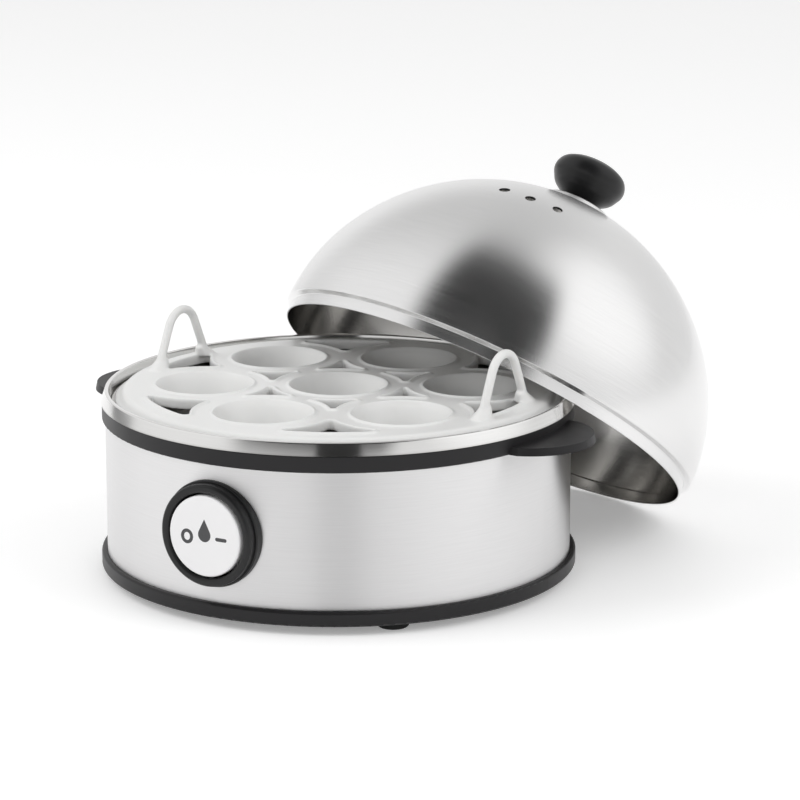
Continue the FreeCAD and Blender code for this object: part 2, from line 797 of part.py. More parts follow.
# Tubular heating element: an open ring with two legs down to its pins
element_ring = document.addObject("Part::Torus", "element_ring")
element_ring.setExpression("Radius1", sheet_text("element_ring_radius"))
element_ring.setExpression("Radius2", sheet_text("element_tube_radius"))
element_ring.setExpression("Angle3", sheet_text("360 - element_gap_angle"))
element_turn = Rotation(Vector(0, 0, 1), 90 + number("element_gap_angle") / 2)
element_ring.Placement = Placement(Vector(0, 0, 0), element_turn)
element_ring.setExpression("Placement.Base.z", sheet_text(element_axis))
element_parts = [element_ring]
for side, sign in (("right", "-"), ("left", "+")):
    across, up = around("element_ring_radius", [f"90 {sign} element_gap_angle / 2"])[0]
    elbow = document.addObject("Part::Sphere", f"element_elbow_{side}")
    elbow.setExpression("Radius", sheet_text("element_tube_radius"))
    for letter, text in zip("xyz", (across, up, element_axis)):
        elbow.setExpression(f"Placement.Base.{letter}", sheet_text(text))
    element_parts.append(elbow)
    element_parts.append(cylinder(f"element_leg_{side}", "element_tube_radius", "element_leg_length",
                                  (across, up, element_axis + " - element_leg_length")))
    element_parts.append(cylinder(
        f"element_pin_{side}", "element_pin_radius", "element_pin_length + element_leg_length / 2",
        (across, up, element_axis + " - element_leg_length - element_pin_length")))
nodes["heating_element"] = joined("heating_element", element_parts)

# Thermostat against the spreader, with its flange screws and blades
thermostat_flange = box("thermostat_flange", "2 * thermostat_flange_length", "2 * thermostat_flange_width",
                        "thermostat_flange_thickness",
                        ("-thermostat_flange_length", "thermostat_offset - thermostat_flange_width",
                         spreader_bottom + " - thermostat_flange_thickness"))
thermostat_can = cylinder("thermostat_can", "thermostat_radius", "thermostat_height",
                          ("0", "thermostat_offset", spreader_bottom + " - thermostat_height"))
thermostat_parts = [thermostat_flange, thermostat_can]
for side, place in (("right", "thermostat_blade_width"), ("left", "-2 * thermostat_blade_width")):
    thermostat_parts.append(box(
        f"thermostat_blade_{side}", "thermostat_blade_width", "thermostat_blade_thickness",
        "thermostat_blade_length + thermostat_height / 2",
        (place, "thermostat_offset",
         spreader_bottom + " - thermostat_height - thermostat_blade_length")))
thermostat_whole = joined("thermostat_whole", thermostat_parts)
thermostat_holes = gathered("thermostat_holes", [
    cylinder(f"thermostat_hole_{index}", "screw_shank_radius + thread_gap",
             "thermostat_flange_thickness + 2 * overrun",
             (across, up, spreader_bottom + " - thermostat_flange_thickness - overrun"))
    for index, (across, up) in enumerate(thermostat_places)])
nodes["thermostat_body"] = cut("thermostat_body", thermostat_whole, thermostat_holes)
short_screw = pan_head_screw(
    "short_screw_form", "thermostat_flange_thickness + spreader_thickness * blind_screw_share",
    "screw_shank_radius", "screw_head_radius * small_head_share", "screw_head_height")
nodes["thermostat_screws"] = copies("thermostat_screws", short_screw, [
    (across, up, spreader_bottom + " - thermostat_flange_thickness") for across, up in thermostat_places])

# Thermal fuse in its sleeve, held by a saddle clip
fuse_axis = spreader_bottom + " - fuse_radius - element_clearance"
nodes["thermal_fuse"] = cylinder("thermal_fuse", "fuse_radius", "fuse_length",
                                 ("-fuse_length / 2", "-fuse_offset", fuse_axis), (1, 0, 0))
clip_outer = "(fuse_radius + element_clearance + clip_sheet)"
clip_inner = "(fuse_radius + element_clearance)"
clip = new_body("fuse_clip")
clip_sketch = new_sketch(clip, "fuse_clip_outline", "YZ_Plane", "-clip_width / 2")
clip_low = f"({spreader_bottom} - 2 * fuse_radius - 2 * element_clearance)"
draw_outline(clip_sketch, [
    (f"-fuse_offset - {clip_outer} - clip_foot", spreader_bottom),
    (f"-fuse_offset - {clip_outer} - clip_foot", spreader_bottom + " - clip_sheet"),
    (f"-fuse_offset - {clip_outer}", spreader_bottom + " - clip_sheet"),
    (f"-fuse_offset - {clip_outer}", clip_low + " - clip_sheet", "fuse_radius * clip_bend_share"),
    (f"-fuse_offset + {clip_outer}", clip_low + " - clip_sheet", "fuse_radius * clip_bend_share"),
    (f"-fuse_offset + {clip_outer}", spreader_bottom + " - clip_sheet"),
    (f"-fuse_offset + {clip_outer} + clip_foot", spreader_bottom + " - clip_sheet"),
    (f"-fuse_offset + {clip_outer} + clip_foot", spreader_bottom),
    (f"-fuse_offset + {clip_inner}", spreader_bottom),
    (f"-fuse_offset + {clip_inner}", clip_low, "fuse_radius * clip_inner_bend_share"),
    (f"-fuse_offset - {clip_inner}", clip_low, "fuse_radius * clip_inner_bend_share"),
    (f"-fuse_offset - {clip_inner}", spreader_bottom),
])
add_pad(clip, clip_sketch, "clip_width", "fuse_clip_strip")
nodes["fuse_clip"] = clip

# Stud, bridge, washer and nut that pull the pan down on its seal
nodes["pan_stud"] = turned("pan_stud", [
    ("0", spreader_bottom),
    ("stud_flange_radius", spreader_bottom),
    ("stud_flange_radius", spreader_bottom + " - stud_flange_thickness"),
    ("stud_radius", spreader_bottom + " - stud_flange_thickness"),
    ("stud_radius", spreader_bottom + " - stud_length"),
    ("0", spreader_bottom + " - stud_length"),
])
bridge = new_body("pan_bridge")
bridge_sketch = new_sketch(bridge, "bridge_outline", "XZ_Plane", "-bridge_width / 2")
draw_outline(bridge_sketch, [
    ("-bridge_rise_radius - bridge_sheet", "bridge_height"),
    ("bridge_rise_radius + bridge_sheet", "bridge_height"),
    ("bridge_rise_radius + bridge_sheet", "bridge_tab_height"),
    ("bridge_tab_radius", "bridge_tab_height"),
    ("bridge_tab_radius", "bridge_tab_height + bridge_sheet"),
    ("bridge_rise_radius", "bridge_tab_height + bridge_sheet"),
    ("bridge_rise_radius", "bridge_height + bridge_sheet"),
    ("-bridge_rise_radius", "bridge_height + bridge_sheet"),
    ("-bridge_rise_radius", "bridge_tab_height + bridge_sheet"),
    ("-bridge_tab_radius", "bridge_tab_height + bridge_sheet"),
    ("-bridge_tab_radius", "bridge_tab_height"),
    ("-bridge_rise_radius - bridge_sheet", "bridge_tab_height"),
])
add_pad(bridge, bridge_sketch, "bridge_width", "bridge_strip")
drill(bridge, "bridge_stud_hole", "bridge_height + bridge_sheet + overrun", [("0", "0")],
      "stud_radius + slip_gap", "bridge_sheet + 2 * overrun")
drill(bridge, "bridge_screw_holes", "bridge_tab_height + bridge_sheet + overrun",
      [("post_ring_radius", "0"), ("-post_ring_radius", "0")],
      "screw_shank_radius + thread_gap", "bridge_sheet + 2 * overrun")
nodes["pan_bridge"] = bridge
bridge_screw = pan_head_screw("bridge_screw_form", "bridge_sheet + bridge_screw_length",
                              "screw_shank_radius", "screw_head_radius", "screw_head_height")
nodes["bridge_screws"] = copies("bridge_screws", bridge_screw, [
    ("post_ring_radius", "0", "bridge_tab_height"), ("-post_ring_radius", "0", "bridge_tab_height")])
nodes["stud_washer"] = cut(
    "stud_washer",
    cylinder("washer_outside", "washer_radius", "washer_thickness",
             ("0", "0", "bridge_height - washer_thickness")),
    cylinder("washer_inside", "stud_radius + slip_gap", "washer_thickness + 2 * overrun",
             ("0", "0", "bridge_height - washer_thickness - overrun")))
nut = new_body("stud_nut")
nut_sketch = new_sketch(nut, "nut_outline", "XY_Plane", "bridge_height - washer_thickness - nut_height")
nut_corner = "nut_half_width / cos(30)"
draw_outline(nut_sketch, [(f"{nut_corner} * cos({angle})", f"{nut_corner} * sin({angle})")
                          for angle in ("1", "61", "121", "181", "241", "301")])
add_pad(nut, nut_sketch, "nut_height", "nut_blank")
drill(nut, "nut_bore", "bridge_height - washer_thickness + overrun", [("0", "0")],
      "stud_radius + thread_gap", "nut_height + 2 * overrun")
nodes["stud_nut"] = nut

# Control: bezel with a barrel through the band, its flange fitted to the band's curve
facing = Rotation(Vector(1, 0, 0), 90)
bezel = turned("bezel_form", [
    ("0", "-bezel_depth"),
    ("bezel_barrel_radius", "-bezel_depth"),
    ("bezel_barrel_radius", "-bezel_face"),
    ("bezel_collar_radius", "-bezel_face"),
    ("bezel_collar_radius", "bezel_collar", "bezel_collar * collar_round_share"),
    ("bezel_radius", "bezel_collar"),
    ("bezel_radius", "bezel_face", "bezel_face_edge"),
    ("bezel_bore_radius", "bezel_face", "bezel_face_edge"),
    ("bezel_bore_radius", "-bezel_depth + bezel_back_wall"),
    ("0", "-bezel_depth + bezel_back_wall"),
])
bezel.Placement = Placement(Vector(0, 0, 0), facing)
bezel.setExpression("Placement.Base.y", sheet_text("-band_radius"))
bezel.setExpression("Placement.Base.z", sheet_text("control_height"))
bezel_seat_ring = cut("bezel_seat_ring",
                      cylinder("bezel_seat_bore", "band_radius + thread_gap / 2",
                               "2 * bezel_radius + 4 * overrun",
                               ("0", "0", "control_height - bezel_radius - 2 * overrun")),
                      cylinder("bezel_barrel_keep", "bezel_barrel_radius", "2 * band_radius",
                               ("0", "0", "control_height"), (0, -1, 0)))
bezel_fitted = cut("bezel_fitted", bezel, bezel_seat_ring)
bezel_holes = gathered("bezel_holes", [
    cylinder("bezel_pin_hole", "pivot_radius", "2 * bezel_barrel_radius",
             ("0", "-band_radius - pivot_depth", "control_height - bezel_barrel_radius")),
    cylinder("bezel_plunger_hole", "plunger_radius + running_gap", "bezel_back_wall + 2 * overrun",
             ("plunger_offset", "-band_radius + bezel_depth - bezel_back_wall - overrun",
              "control_height"), (0, 1, 0)),
    cylinder("bezel_lamp_hole", "lamp_radius + thread_gap", "bezel_back_wall + 2 * overrun",
             ("0", "-band_radius + bezel_depth - bezel_back_wall - overrun",
              "control_height + lens_offset"), (0, 1, 0)),
])
nodes["switch_bezel"] = cut("switch_bezel", bezel_fitted, bezel_holes)
nodes["rocker_pin"] = cylinder(
    "rocker_pin", "pivot_radius", "2 * bezel_barrel_radius - 2 * thread_gap",
    ("0", "-band_radius - pivot_depth", "control_height - bezel_barrel_radius + thread_gap"))

# Rocker disc on the pin, with a drop-shaped lens let into its face
disc = turned("disc_form", [
    ("0", "disc_face"),
    ("0", "disc_face - disc_thickness"),
    ("disc_radius", "disc_face - disc_thickness"),
    ("disc_radius", "disc_face", "disc_edge"),
])
disc.Placement = Placement(Vector(0, 0, 0), facing)
disc.setExpression("Placement.Base.y", sheet_text("-band_radius"))
disc.setExpression("Placement.Base.z", sheet_text("control_height"))


def drop_outline(margin):
    """A drop standing on its round end, as a wire in the plane of the disc's face."""
    radius = number(f"lens_radius + {margin}")
    height = number(f"lens_height + 2 * ({margin})")
    tip = height - radius
    reach = math.acos(radius / tip)
    right = Vector(radius * math.sin(reach), 0, radius * math.cos(reach))
    left = Vector(-right.x, 0, right.z)
    top = Vector(0, 0, tip)
    low = Vector(0, 0, -radius)
    return Part.Wire([
        Part.Arc(left, low, right).toShape(),
        Part.LineSegment(right, top).toShape(),
        Part.LineSegment(top, left).toShape(),
    ])


drop_centre = Vector(0, number("-band_radius - disc_face"),
                     number("control_height + lens_offset - lens_height / 2 + lens_radius"))
recess_face = Part.Face(drop_outline("thread_gap / 2"))
recess_shape = recess_face.extrude(Vector(0, number("lens_depth + overrun"), 0))
recess_shape.translate(drop_centre - Vector(0, number("overrun"), 0))
lens_recess = plain_feature("lens_recess", recess_shape)
lens_shape = Part.Face(drop_outline("0 * lens_radius")).extrude(Vector(0, number("lens_depth"), 0))
lens_shape.translate(drop_centre)
nodes["indicator_lens"] = plain_feature("indicator_lens", lens_shape)
disc_bore = cylinder("disc_bore", "pivot_radius + thread_gap", "2 * disc_radius + 2 * overrun",
                     ("0", "-band_radius - pivot_depth", "control_height - disc_radius - overrun"))
nodes["rocker_disc"] = cut("rocker_disc", disc, gathered("disc_cuts", [disc_bore, lens_recess]))

# Plunger behind the disc, the switch it works and the indicator lamp
disc_back = "(-band_radius - disc_face + disc_thickness)"
nodes["switch_plunger"] = cylinder("switch_plunger", "plunger_radius", "plunger_length",
                                   ("plunger_offset", disc_back + " + running_gap", "control_height"),
                                   (0, 1, 0))
switch_front = "(-band_radius + bezel_depth)"
switch_parts = [box("switch_case", "switch_width", "switch_depth", "switch_height",
                    ("-switch_width / 2", switch_front,
                     "control_height - switch_drop - switch_height / 2"))]
for index, place in enumerate(("-1.5", "-0.5", "0.5", "1.5")):
    if index in (0, 3):
        switch_parts.append(box(
            f"switch_blade_{index}", "blade_width", "blade_length + switch_depth / 2", "blade_thickness",
            (f"{place} * blade_spacing * blade_spread_share - blade_width / 2",
             switch_front + " + switch_depth / 2",
             "control_height - switch_drop")))
switch_whole = joined("switch_whole", switch_parts)
switch_bores = gathered("switch_bores", [
    cylinder("switch_plunger_bore", "plunger_radius + running_gap",
             "switch_depth * plunger_bore_share + overrun",
             ("plunger_offset", switch_front + " - overrun", "control_height"), (0, 1, 0)),
    cylinder("switch_lamp_bore", "lamp_radius + thread_gap", "lamp_length",
             ("0", switch_front + " - lamp_length / 2", "control_height + lens_offset"), (0, 1, 0)),
])
nodes["switch_body"] = cut("switch_body", switch_whole, switch_bores)
nodes["indicator_lamp"] = cylinder(
    "indicator_lamp", "lamp_radius", "lamp_length",
    ("0", switch_front + " - lamp_length / 2 - thread_gap", "control_height + lens_offset"), (0, 1, 0))

# Inlet bushing at the back, and the terminal block on the cover
inlet = turned("inlet_form", [
    ("inlet_bore_radius", "inlet_flange_thickness"),
    ("inlet_bore_radius", "-inlet_grip_depth - inlet_flange_thickness"),
    ("inlet_flange_radius - inlet_grip_depth / 2", "-inlet_grip_depth - inlet_flange_thickness"),
    ("inlet_flange_radius", "-inlet_grip_depth"),
    ("inlet_flange_radius", "inlet_flange_thickness", "inlet_flange_thickness / 3"),
])
inlet.Placement = Placement(Vector(0, 0, 0), Rotation(Vector(1, 0, 0), -90))
inlet.setExpression("Placement.Base.y", sheet_text("band_radius"))
inlet.setExpression("Placement.Base.z", sheet_text("inlet_height"))
inlet_slot_tube = cut("inlet_slot_tube",
                      cylinder("inlet_slot_outer", "band_radius + thread_gap / 2",
                               "2 * inlet_flange_radius + 2 * overrun",
                               ("0", "0", "inlet_height - inlet_flange_radius - overrun")),
                      cylinder("inlet_slot_inner", band_inside + " - thread_gap / 2",
                               "2 * inlet_flange_radius + 4 * overrun",
                               ("0", "0", "inlet_height - inlet_flange_radius - 2 * overrun")))
inlet_slot = cut("inlet_slot", inlet_slot_tube,
                 cylinder("inlet_barrel_keep", "inlet_barrel_radius", "2 * band_radius",
                          ("0", "0", "inlet_height"), (0, 1, 0)))
nodes["inlet_bushing"] = cut("inlet_bushing", inlet, inlet_slot)
nodes["inlet_bushing"].Placement = Placement(Vector(0, 0, 0), inlet_turn)
block = box("block_case", "block_length", "block_width", "block_height",
            ("-block_length / 2", "block_offset - block_width / 2", cover_top))
block_cuts = []
block_places = [("-block_pitch", "block_offset"), ("0", "block_offset"), ("block_pitch", "block_offset")]
for index, (across, up) in enumerate(block_places):
    block_cuts.append(cylinder(f"block_well_{index}", "block_screw_radius + thread_gap",
                               "block_screw_length + overrun",
                               (across, up, cover_top + " + block_height - block_screw_length")))
    block_cuts.append(cylinder(f"block_entry_{index}", "block_entry_radius", "block_width + 2 * overrun",
                               (across, "block_offset - block_width / 2 - overrun",
                                cover_top + " + block_height / 4"), (0, 1, 0)))
nodes["terminal_block"] = cut("terminal_block", block, gathered("block_holes", block_cuts))
nodes["terminal_screws"] = gathered("terminal_screws", [
    cylinder(f"terminal_screw_{index}", "block_screw_radius", "block_screw_length * terminal_thread_share",
             (across, up, cover_top + " + block_height - block_screw_length"))
    for index, (across, up) in enumerate(block_places)])


# Egg tray: stepped plate, seven seats, twelve gaps with raised lips and two lifting loops
def turned_shape(outline):
    """Solid of revolution about Z from plain (radius, height) numbers and rounded corners."""
    edges = []
    points = []
    for corner in outline:
        points.append(Vector(corner[0], 0, corner[1]))
    count = len(points)
    ends = []
    for index, corner in enumerate(outline):
        here = points[index]
        if len(corner) == 2:
            ends.append((here, here, None))
            continue
        back = (points[index - 1] - here).normalize()
        ahead = (points[(index + 1) % count] - here).normalize()
        half_turn = back.getAngle(ahead) / 2
        reach = corner[2] / math.tan(half_turn)
        centre = here + (back + ahead).normalize() * (corner[2] / math.sin(half_turn))
        middle = centre + (here - centre).normalize() * corner[2]
        ends.append((here + back * reach, here + ahead * reach, middle))
    for index in range(count):
        start, end, middle = ends[index]
        if middle is not None:
            edges.append(Part.Arc(start, middle, end).toShape())
        following = ends[(index + 1) % count][0]
        if (following - end).Length > number("thread_gap") / 100:
            edges.append(Part.LineSegment(end, following).toShape())
    face = Part.Face(Part.Wire(edges))
    solid = face.revolve(Vector(0, 0, 0), Vector(0, 0, 1), 360)
    if solid.Volume < 0:
        solid.reverse()
    return solid


def prism(wire, low, high):
    solid = Part.Face(wire).extrude(Vector(0, 0, high - low))
    solid.translate(Vector(0, 0, low))
    return solid


def point_at(radius, degrees, centre=Vector(0, 0, 0)):
    angle = math.radians(degrees)
    return centre + Vector(radius * math.cos(angle), radius * math.sin(angle), 0)


def arc_about(centre, start, end):
    """The shorter arc from start to end about a centre."""
    radius = (start - centre).Length
    middle = ((start - centre).normalize() + (end - centre).normalize()).normalize() * radius + centre
    return Part.Arc(start, middle, end).toShape()


half_step = 30
seat_ring = number("seat_ring_radius")
outer_seats = [point_at(seat_ring, sign * half_step) for sign in (-1, 1)]


def arc_through(start, middle, end):
    return Part.Arc(start, middle, end).toShape()


def inner_gap(grow, low, high):
    """Concave triangle between the middle seat and two outer ones, grown all round."""
    margin = number("inner_gap_margin")
    tip = number("inner_gap_tip")
    seats = [Vector(0, 0, 0), outer_seats[0], outer_seats[1]]
    middle = (seats[0] + seats[1] + seats[2]) / 3
    touches = {}
    edges = []
    for one, other in ((0, 1), (1, 2), (2, 0)):
        bridge_middle = (seats[one] + seats[other]) / 2
        half = (seats[one] - seats[other]).Length / 2
        inward = (middle - bridge_middle).normalize()
        centre = bridge_middle + inward * math.sqrt((margin + tip) ** 2 - half ** 2)
        for seat_index in (one, other):
            outward = (centre - seats[seat_index]).normalize()
            touches[(seat_index, one, other)] = seats[seat_index] + outward * (margin - grow)
        edges.append(arc_through(touches[(one, one, other)], centre - inward * (tip + grow),
                                 touches[(other, one, other)]))
    for seat_index in range(3):
        first, second = [point for key, point in touches.items() if key[0] == seat_index]
        edges.append(arc_about(seats[seat_index], first, second))
    return prism(Part.Wire(Part.__sortEdges__(edges)), low, high)


def outer_gap(grow, low, high):
    """Gap at the tray's edge between two outer seats, grown all round."""
    margin = number("outer_gap_margin")
    radius = number("outer_gap_radius")
    apex = number("outer_gap_apex")
    corner = number("outer_gap_corner")
    seat_low, seat_high = outer_seats
    apex_centre = Vector(seat_low.x + math.sqrt((margin + apex) ** 2 - seat_high.y ** 2), 0, 0)
    swing = math.degrees(math.acos(((radius - corner) ** 2 + seat_ring ** 2 - (margin + corner) ** 2)
                                   / (2 * (radius - corner) * seat_ring)))
    edges = [arc_through(seat_low + (apex_centre - seat_low).normalize() * (margin - grow),
                         apex_centre - Vector(apex + grow, 0, 0),
                         seat_high + (apex_centre - seat_high).normalize() * (margin - grow))]
    rim_points = []
    for seat_point, angle in ((seat_low, swing - half_step), (seat_high, half_step - swing)):
        centre = point_at(radius - corner, angle)
        rim_point = point_at(radius + grow, angle)
        flank_point = seat_point + (centre - seat_point).normalize() * (margin - grow)
        turn_way = ((rim_point - centre).normalize() + (flank_point - centre).normalize()).normalize()
        edges.append(arc_through(rim_point, centre + turn_way * (corner + grow), flank_point))
        start = seat_point + (apex_centre - seat_point).normalize() * (margin - grow)
        edges.append(arc_about(seat_point, start, flank_point))
        rim_points.append(rim_point)
    edges.append(arc_about(Vector(0, 0, 0), rim_points[0], rim_points[1]))
    return prism(Part.Wire(Part.__sortEdges__(edges)), low, high)


def lipped_ring(gap, lip_width, low, high):
    """Wall round a gap with its top edges rounded."""
    outside = gap(lip_width, low, high)
    inside = gap(0.0, low - number("overrun"), high + number("overrun"))
    wall = outside.cut(inside)
    rounding = lip_width * number("gap_lip_round_share")
    top_edges = []
    for edge in wall.Edges:
        if all(abs(vertex.Point.z - high) < rounding / 10 for vertex in edge.Vertexes):
            top_edges.append(edge)
    return wall.makeFillet(rounding, top_edges)


tray_top = number("tray_top")
under = number(tray_under)
gap_top = number("tray_top + gap_lip_height")
gap_low = number("tray_top - gap_wall_depth")
lip = number("gap_lip_width")
plate = turned_shape([
    (0.0, tray_top),
    (number("tray_radius"), tray_top, number("tray_edge")),
    (number("tray_radius"), number("tray_flange_top")),
    (number("tray_flange_radius"), number("tray_flange_top"), number("tray_sheet") / 4),
    (number("tray_flange_radius"), number(tray_flange_bottom)),
    (number("tray_radius - tray_sheet"), number(tray_flange_bottom)),
    (number("tray_radius - tray_sheet"), under),
    (0.0, under),
])
rim = number("seat_radius + seat_flare")
seat_bottom = number("tray_top - seat_depth")
seat_top = number("tray_top + seat_lip")
foot_inner = number("seat_foot_radius")
wall = number("seat_wall")
ledge = number("seat_ledge_width")
seat = turned_shape([
    (rim, seat_top, number("seat_lip * seat_lip_round_share")),
    (number("seat_radius"), tray_top - number("seat_flare"), number("seat_flare")),
    (foot_inner, seat_bottom),
    (foot_inner - ledge, seat_bottom),
    (foot_inner - ledge, seat_bottom - number("seat_ledge_thickness")),
    (foot_inner + wall, seat_bottom - number("seat_ledge_thickness")),
    (number("seat_radius") + wall, number(tray_under + " - seat_flare")),
    (rim + wall / 2, under),
    (rim + wall / 2, seat_top, number("seat_lip * seat_lip_round_share")),
])
seat_names = ["middle", "right_back", "back", "left_back", "left_front", "front", "right_front"]
seat_centres = [Vector(0, 0, 0)] + [point_at(seat_ring, half_step + 60 * index) for index in range(6)]
tray_turn = Rotation(Vector(0, 0, 1), -number("tray_turn_angle"))
tray_place = Placement(Vector(0, 0, 0), tray_turn)
cuts = []
walls = []
for place_name, centre in zip(seat_names, seat_centres):
    tool = Part.makeCylinder(rim + wall / 2, 4 * number("tray_sheet"),
                             centre + Vector(0, 0, under - number("tray_sheet")))
    cuts.append(tool)
    nodes["egg_seat_" + place_name] = plain_feature(
        "egg_seat_" + place_name, seat, Placement(tray_turn.multVec(centre), Rotation()))
inner_cut = inner_gap(lip / 2, under - number("overrun"), tray_top + number("overrun"))
outer_cut = outer_gap(lip / 2, under - number("overrun"), tray_top + number("overrun"))
inner_wall = lipped_ring(inner_gap, lip, gap_low, gap_top)
outer_wall = lipped_ring(outer_gap, lip, gap_low, gap_top)
for index in range(6):
    for source, target in ((inner_cut, cuts), (outer_cut, cuts), (inner_wall, walls), (outer_wall, walls)):
        moved = source.copy()
        moved.rotate(Vector(0, 0, 0), Vector(0, 0, 1), 60 * index)
        target.append(moved)
tray_shape = plate.cut(cuts).fuse(walls)

# Lifting loops: bent rods with flared feet on the plate
place = number("loop_place")
tube = number("loop_tube_radius")
arch = number("loop_arch_radius")
foot_at = number("loop_half_width")
arch_height = number("loop_top - loop_tube_radius - loop_arch_radius")
foot_height = tray_top
span = math.hypot(foot_at, arch_height - foot_height)
bearing = math.atan2(foot_height - arch_height, foot_at)
turn = math.acos(arch / span)
touch = bearing + turn
right_touch = Vector(place, arch * math.cos(touch), arch_height + arch * math.sin(touch))
left_touch = Vector(place, -right_touch.y, right_touch.z)
right_foot = Vector(place, foot_at, foot_height)
slope = (right_foot - right_touch).normalize()
right_foot = right_foot + slope * number("tray_sheet")
left_foot = Vector(place, -right_foot.y, right_foot.z)
path = Part.Wire([
    Part.LineSegment(right_foot, right_touch).toShape(),
    Part.Arc(right_touch, Vector(place, 0, arch_height + arch), left_touch).toShape(),
    Part.LineSegment(left_touch, left_foot).toShape(),
])
section = Part.Wire([Part.Circle(right_foot, slope, tube).toShape()])
loop = path.makePipeShell([section], True, False)
if loop.Volume < 0:
    loop.reverse()
loop_feet = []
for sign in (-1, 1):
    base = Vector(place, sign * foot_at, foot_height - number("tray_sheet"))
    lean = Vector(0, -sign * foot_at * number("loop_foot_lean_share"), number("loop_foot_height"))
    loop_feet.append(Part.makeCone(number("loop_foot_radius + gap_lip_height"), tube,
                                   number("loop_foot_height + tray_sheet"), base, lean))
level = Part.makeBox(*[number("4 * tray_radius")] * 3)
level.translate(Vector(number("-2 * tray_radius"), number("-2 * tray_radius"),
                       tray_top - number("4 * tray_radius")))
handle = loop.fuse(loop_feet).removeSplitter().cut(level).cut(tray_shape)
nodes["tray_loop_right"] = plain_feature("tray_loop_right", handle, tray_place)
nodes["tray_loop_left"] = plain_feature(
    "tray_loop_left", handle, Placement(Vector(0, 0, 0), Rotation(Vector(0, 0, 1), 180).multiply(tray_turn)))
tray_shape = tray_shape.removeSplitter()
nodes["egg_tray"] = plain_feature("egg_tray", tray_shape, tray_place)

# Lid shell: neck, shoulder, dome of two tangent arcs, knob boss and steam holes
lid = new_body("lid_shell")
lid_sketch = new_sketch(lid, "lid_outline", "XZ_Plane")


def crown(radius, rise, shoulder):
    """Radius of the crown arc that is tangent to the shoulder arc."""
    return ((radius - shoulder) ** 2 + rise ** 2 - shoulder ** 2) / (2 * (rise - shoulder))


def dome_points(inset):
    """Start, join and end of the dome's two arcs, and points on each."""
    radius = number("dome_radius") - inset
    base = number("dome_wall_height")
    shoulder = number("dome_shoulder_radius") - inset
    rise = number("dome_apex - dome_wall_height") - inset
    top = crown(radius, rise, shoulder)
    low_centre = Vector(radius - shoulder, base, 0)
    high_centre = Vector(0, base + rise - top, 0)
    direction = (low_centre - high_centre).normalize()
    if top < shoulder:
        direction = direction * -1
    join = high_centre + direction * top
    edge = number("boss_radius + boss_slope") - inset / 2
    end = Vector(edge, high_centre.y + math.sqrt(top ** 2 - edge ** 2), 0)
    start = Vector(radius, base, 0)
    return start, low_centre, join, high_centre, end


inset = number("lid_sheet")
outer = dome_points(0.0)
inner = dome_points(inset)
shell_points = [
    ("0", boss_top),
    ("boss_radius", boss_top),
    None,
    ("dome_radius", "neck_height + shoulder_rise"),
    ("neck_radius", "neck_height"),
    ("neck_radius", "0"),
    ("neck_radius - lid_sheet", "0"),
    ("neck_radius - lid_sheet", "neck_height + lid_sheet / 2"),
    ("dome_radius - lid_sheet", "neck_height + shoulder_rise + lid_sheet / 2"),
    None,
    ("boss_radius - lid_sheet / 2", boss_under),
    ("0", boss_under),
]
edges = []
corner_of = {}


def shell_line(start, end):
    return lid_sketch.addGeometry(Part.LineSegment(start, end), False)


def flat(text):
    return Vector(number(text[0]), number(text[1]), 0)


def join_ends(one, two):
    """Hold together the two ends at which neighbouring edges of the outline meet."""
    gaps = []
    for one_end in (1, 2):
        for two_end in (1, 2):
            apart = (lid_sketch.getPoint(one, one_end) - lid_sketch.getPoint(two, two_end)).Length
            gaps.append((apart, one_end, two_end))
    _, one_end, two_end = min(gaps)
    lid_sketch.addConstraint(Sketcher.Constraint("Coincident", one, one_end, two, two_end))


def dome_arcs(points):
    """Add the shoulder and crown arcs and return them with their end numbers."""
    start, low_centre, join, high_centre, end = points
    low, low_end = add_arc(lid_sketch, low_centre, start, join)
    high, high_end = add_arc(lid_sketch, high_centre, join, end)
    return low, high, [low_end, 3 - low_end, high_end, 3 - high_end]


first = shell_line(flat(shell_points[0]), flat(shell_points[1]))
outer_low, outer_high, outer_ends = dome_arcs(outer)
slope_out = shell_line(flat(shell_points[1]), outer[4])
wall_out = shell_line(outer[0], flat(shell_points[3]))
shoulder_out = shell_line(flat(shell_points[3]), flat(shell_points[4]))
neck_out = shell_line(flat(shell_points[4]), flat(shell_points[5]))
hem = shell_line(flat(shell_points[5]), flat(shell_points[6]))
neck_in = shell_line(flat(shell_points[6]), flat(shell_points[7]))
shoulder_in = shell_line(flat(shell_points[7]), flat(shell_points[8]))
wall_in = shell_line(flat(shell_points[8]), inner[0])
inner_low, inner_high, inner_ends = dome_arcs(inner)
slope_in = shell_line(inner[4], flat(shell_points[10]))
last = shell_line(flat(shell_points[10]), flat(shell_points[11]))
axis_line = shell_line(flat(shell_points[11]), flat(shell_points[0]))
side_run = [outer_low, wall_out, shoulder_out, neck_out, hem, neck_in, shoulder_in, wall_in, inner_low]
top_run = [inner_high, slope_in, last, axis_line, first, slope_out, outer_high]
for run in (side_run, top_run):
    for one, two in zip(run, run[1:]):
        join_ends(one, two)
for high, low, low_ends in ((outer_high, outer_low, outer_ends), (inner_high, inner_low, inner_ends)):
    lid_sketch.addConstraint(Sketcher.Constraint("Tangent", high, low_ends[2], low, low_ends[1]))
for line, text in ((first, shell_points[0]), (slope_out, shell_points[1]), (shoulder_out, shell_points[3]),
                   (neck_out, shell_points[4]), (hem, shell_points[5]), (neck_in, shell_points[6]),
                   (shoulder_in, shell_points[7]), (wall_in, shell_points[8]), (last, shell_points[10]),
                   (axis_line, shell_points[11])):
    fix_point(lid_sketch, line, 1, text[0], text[1])
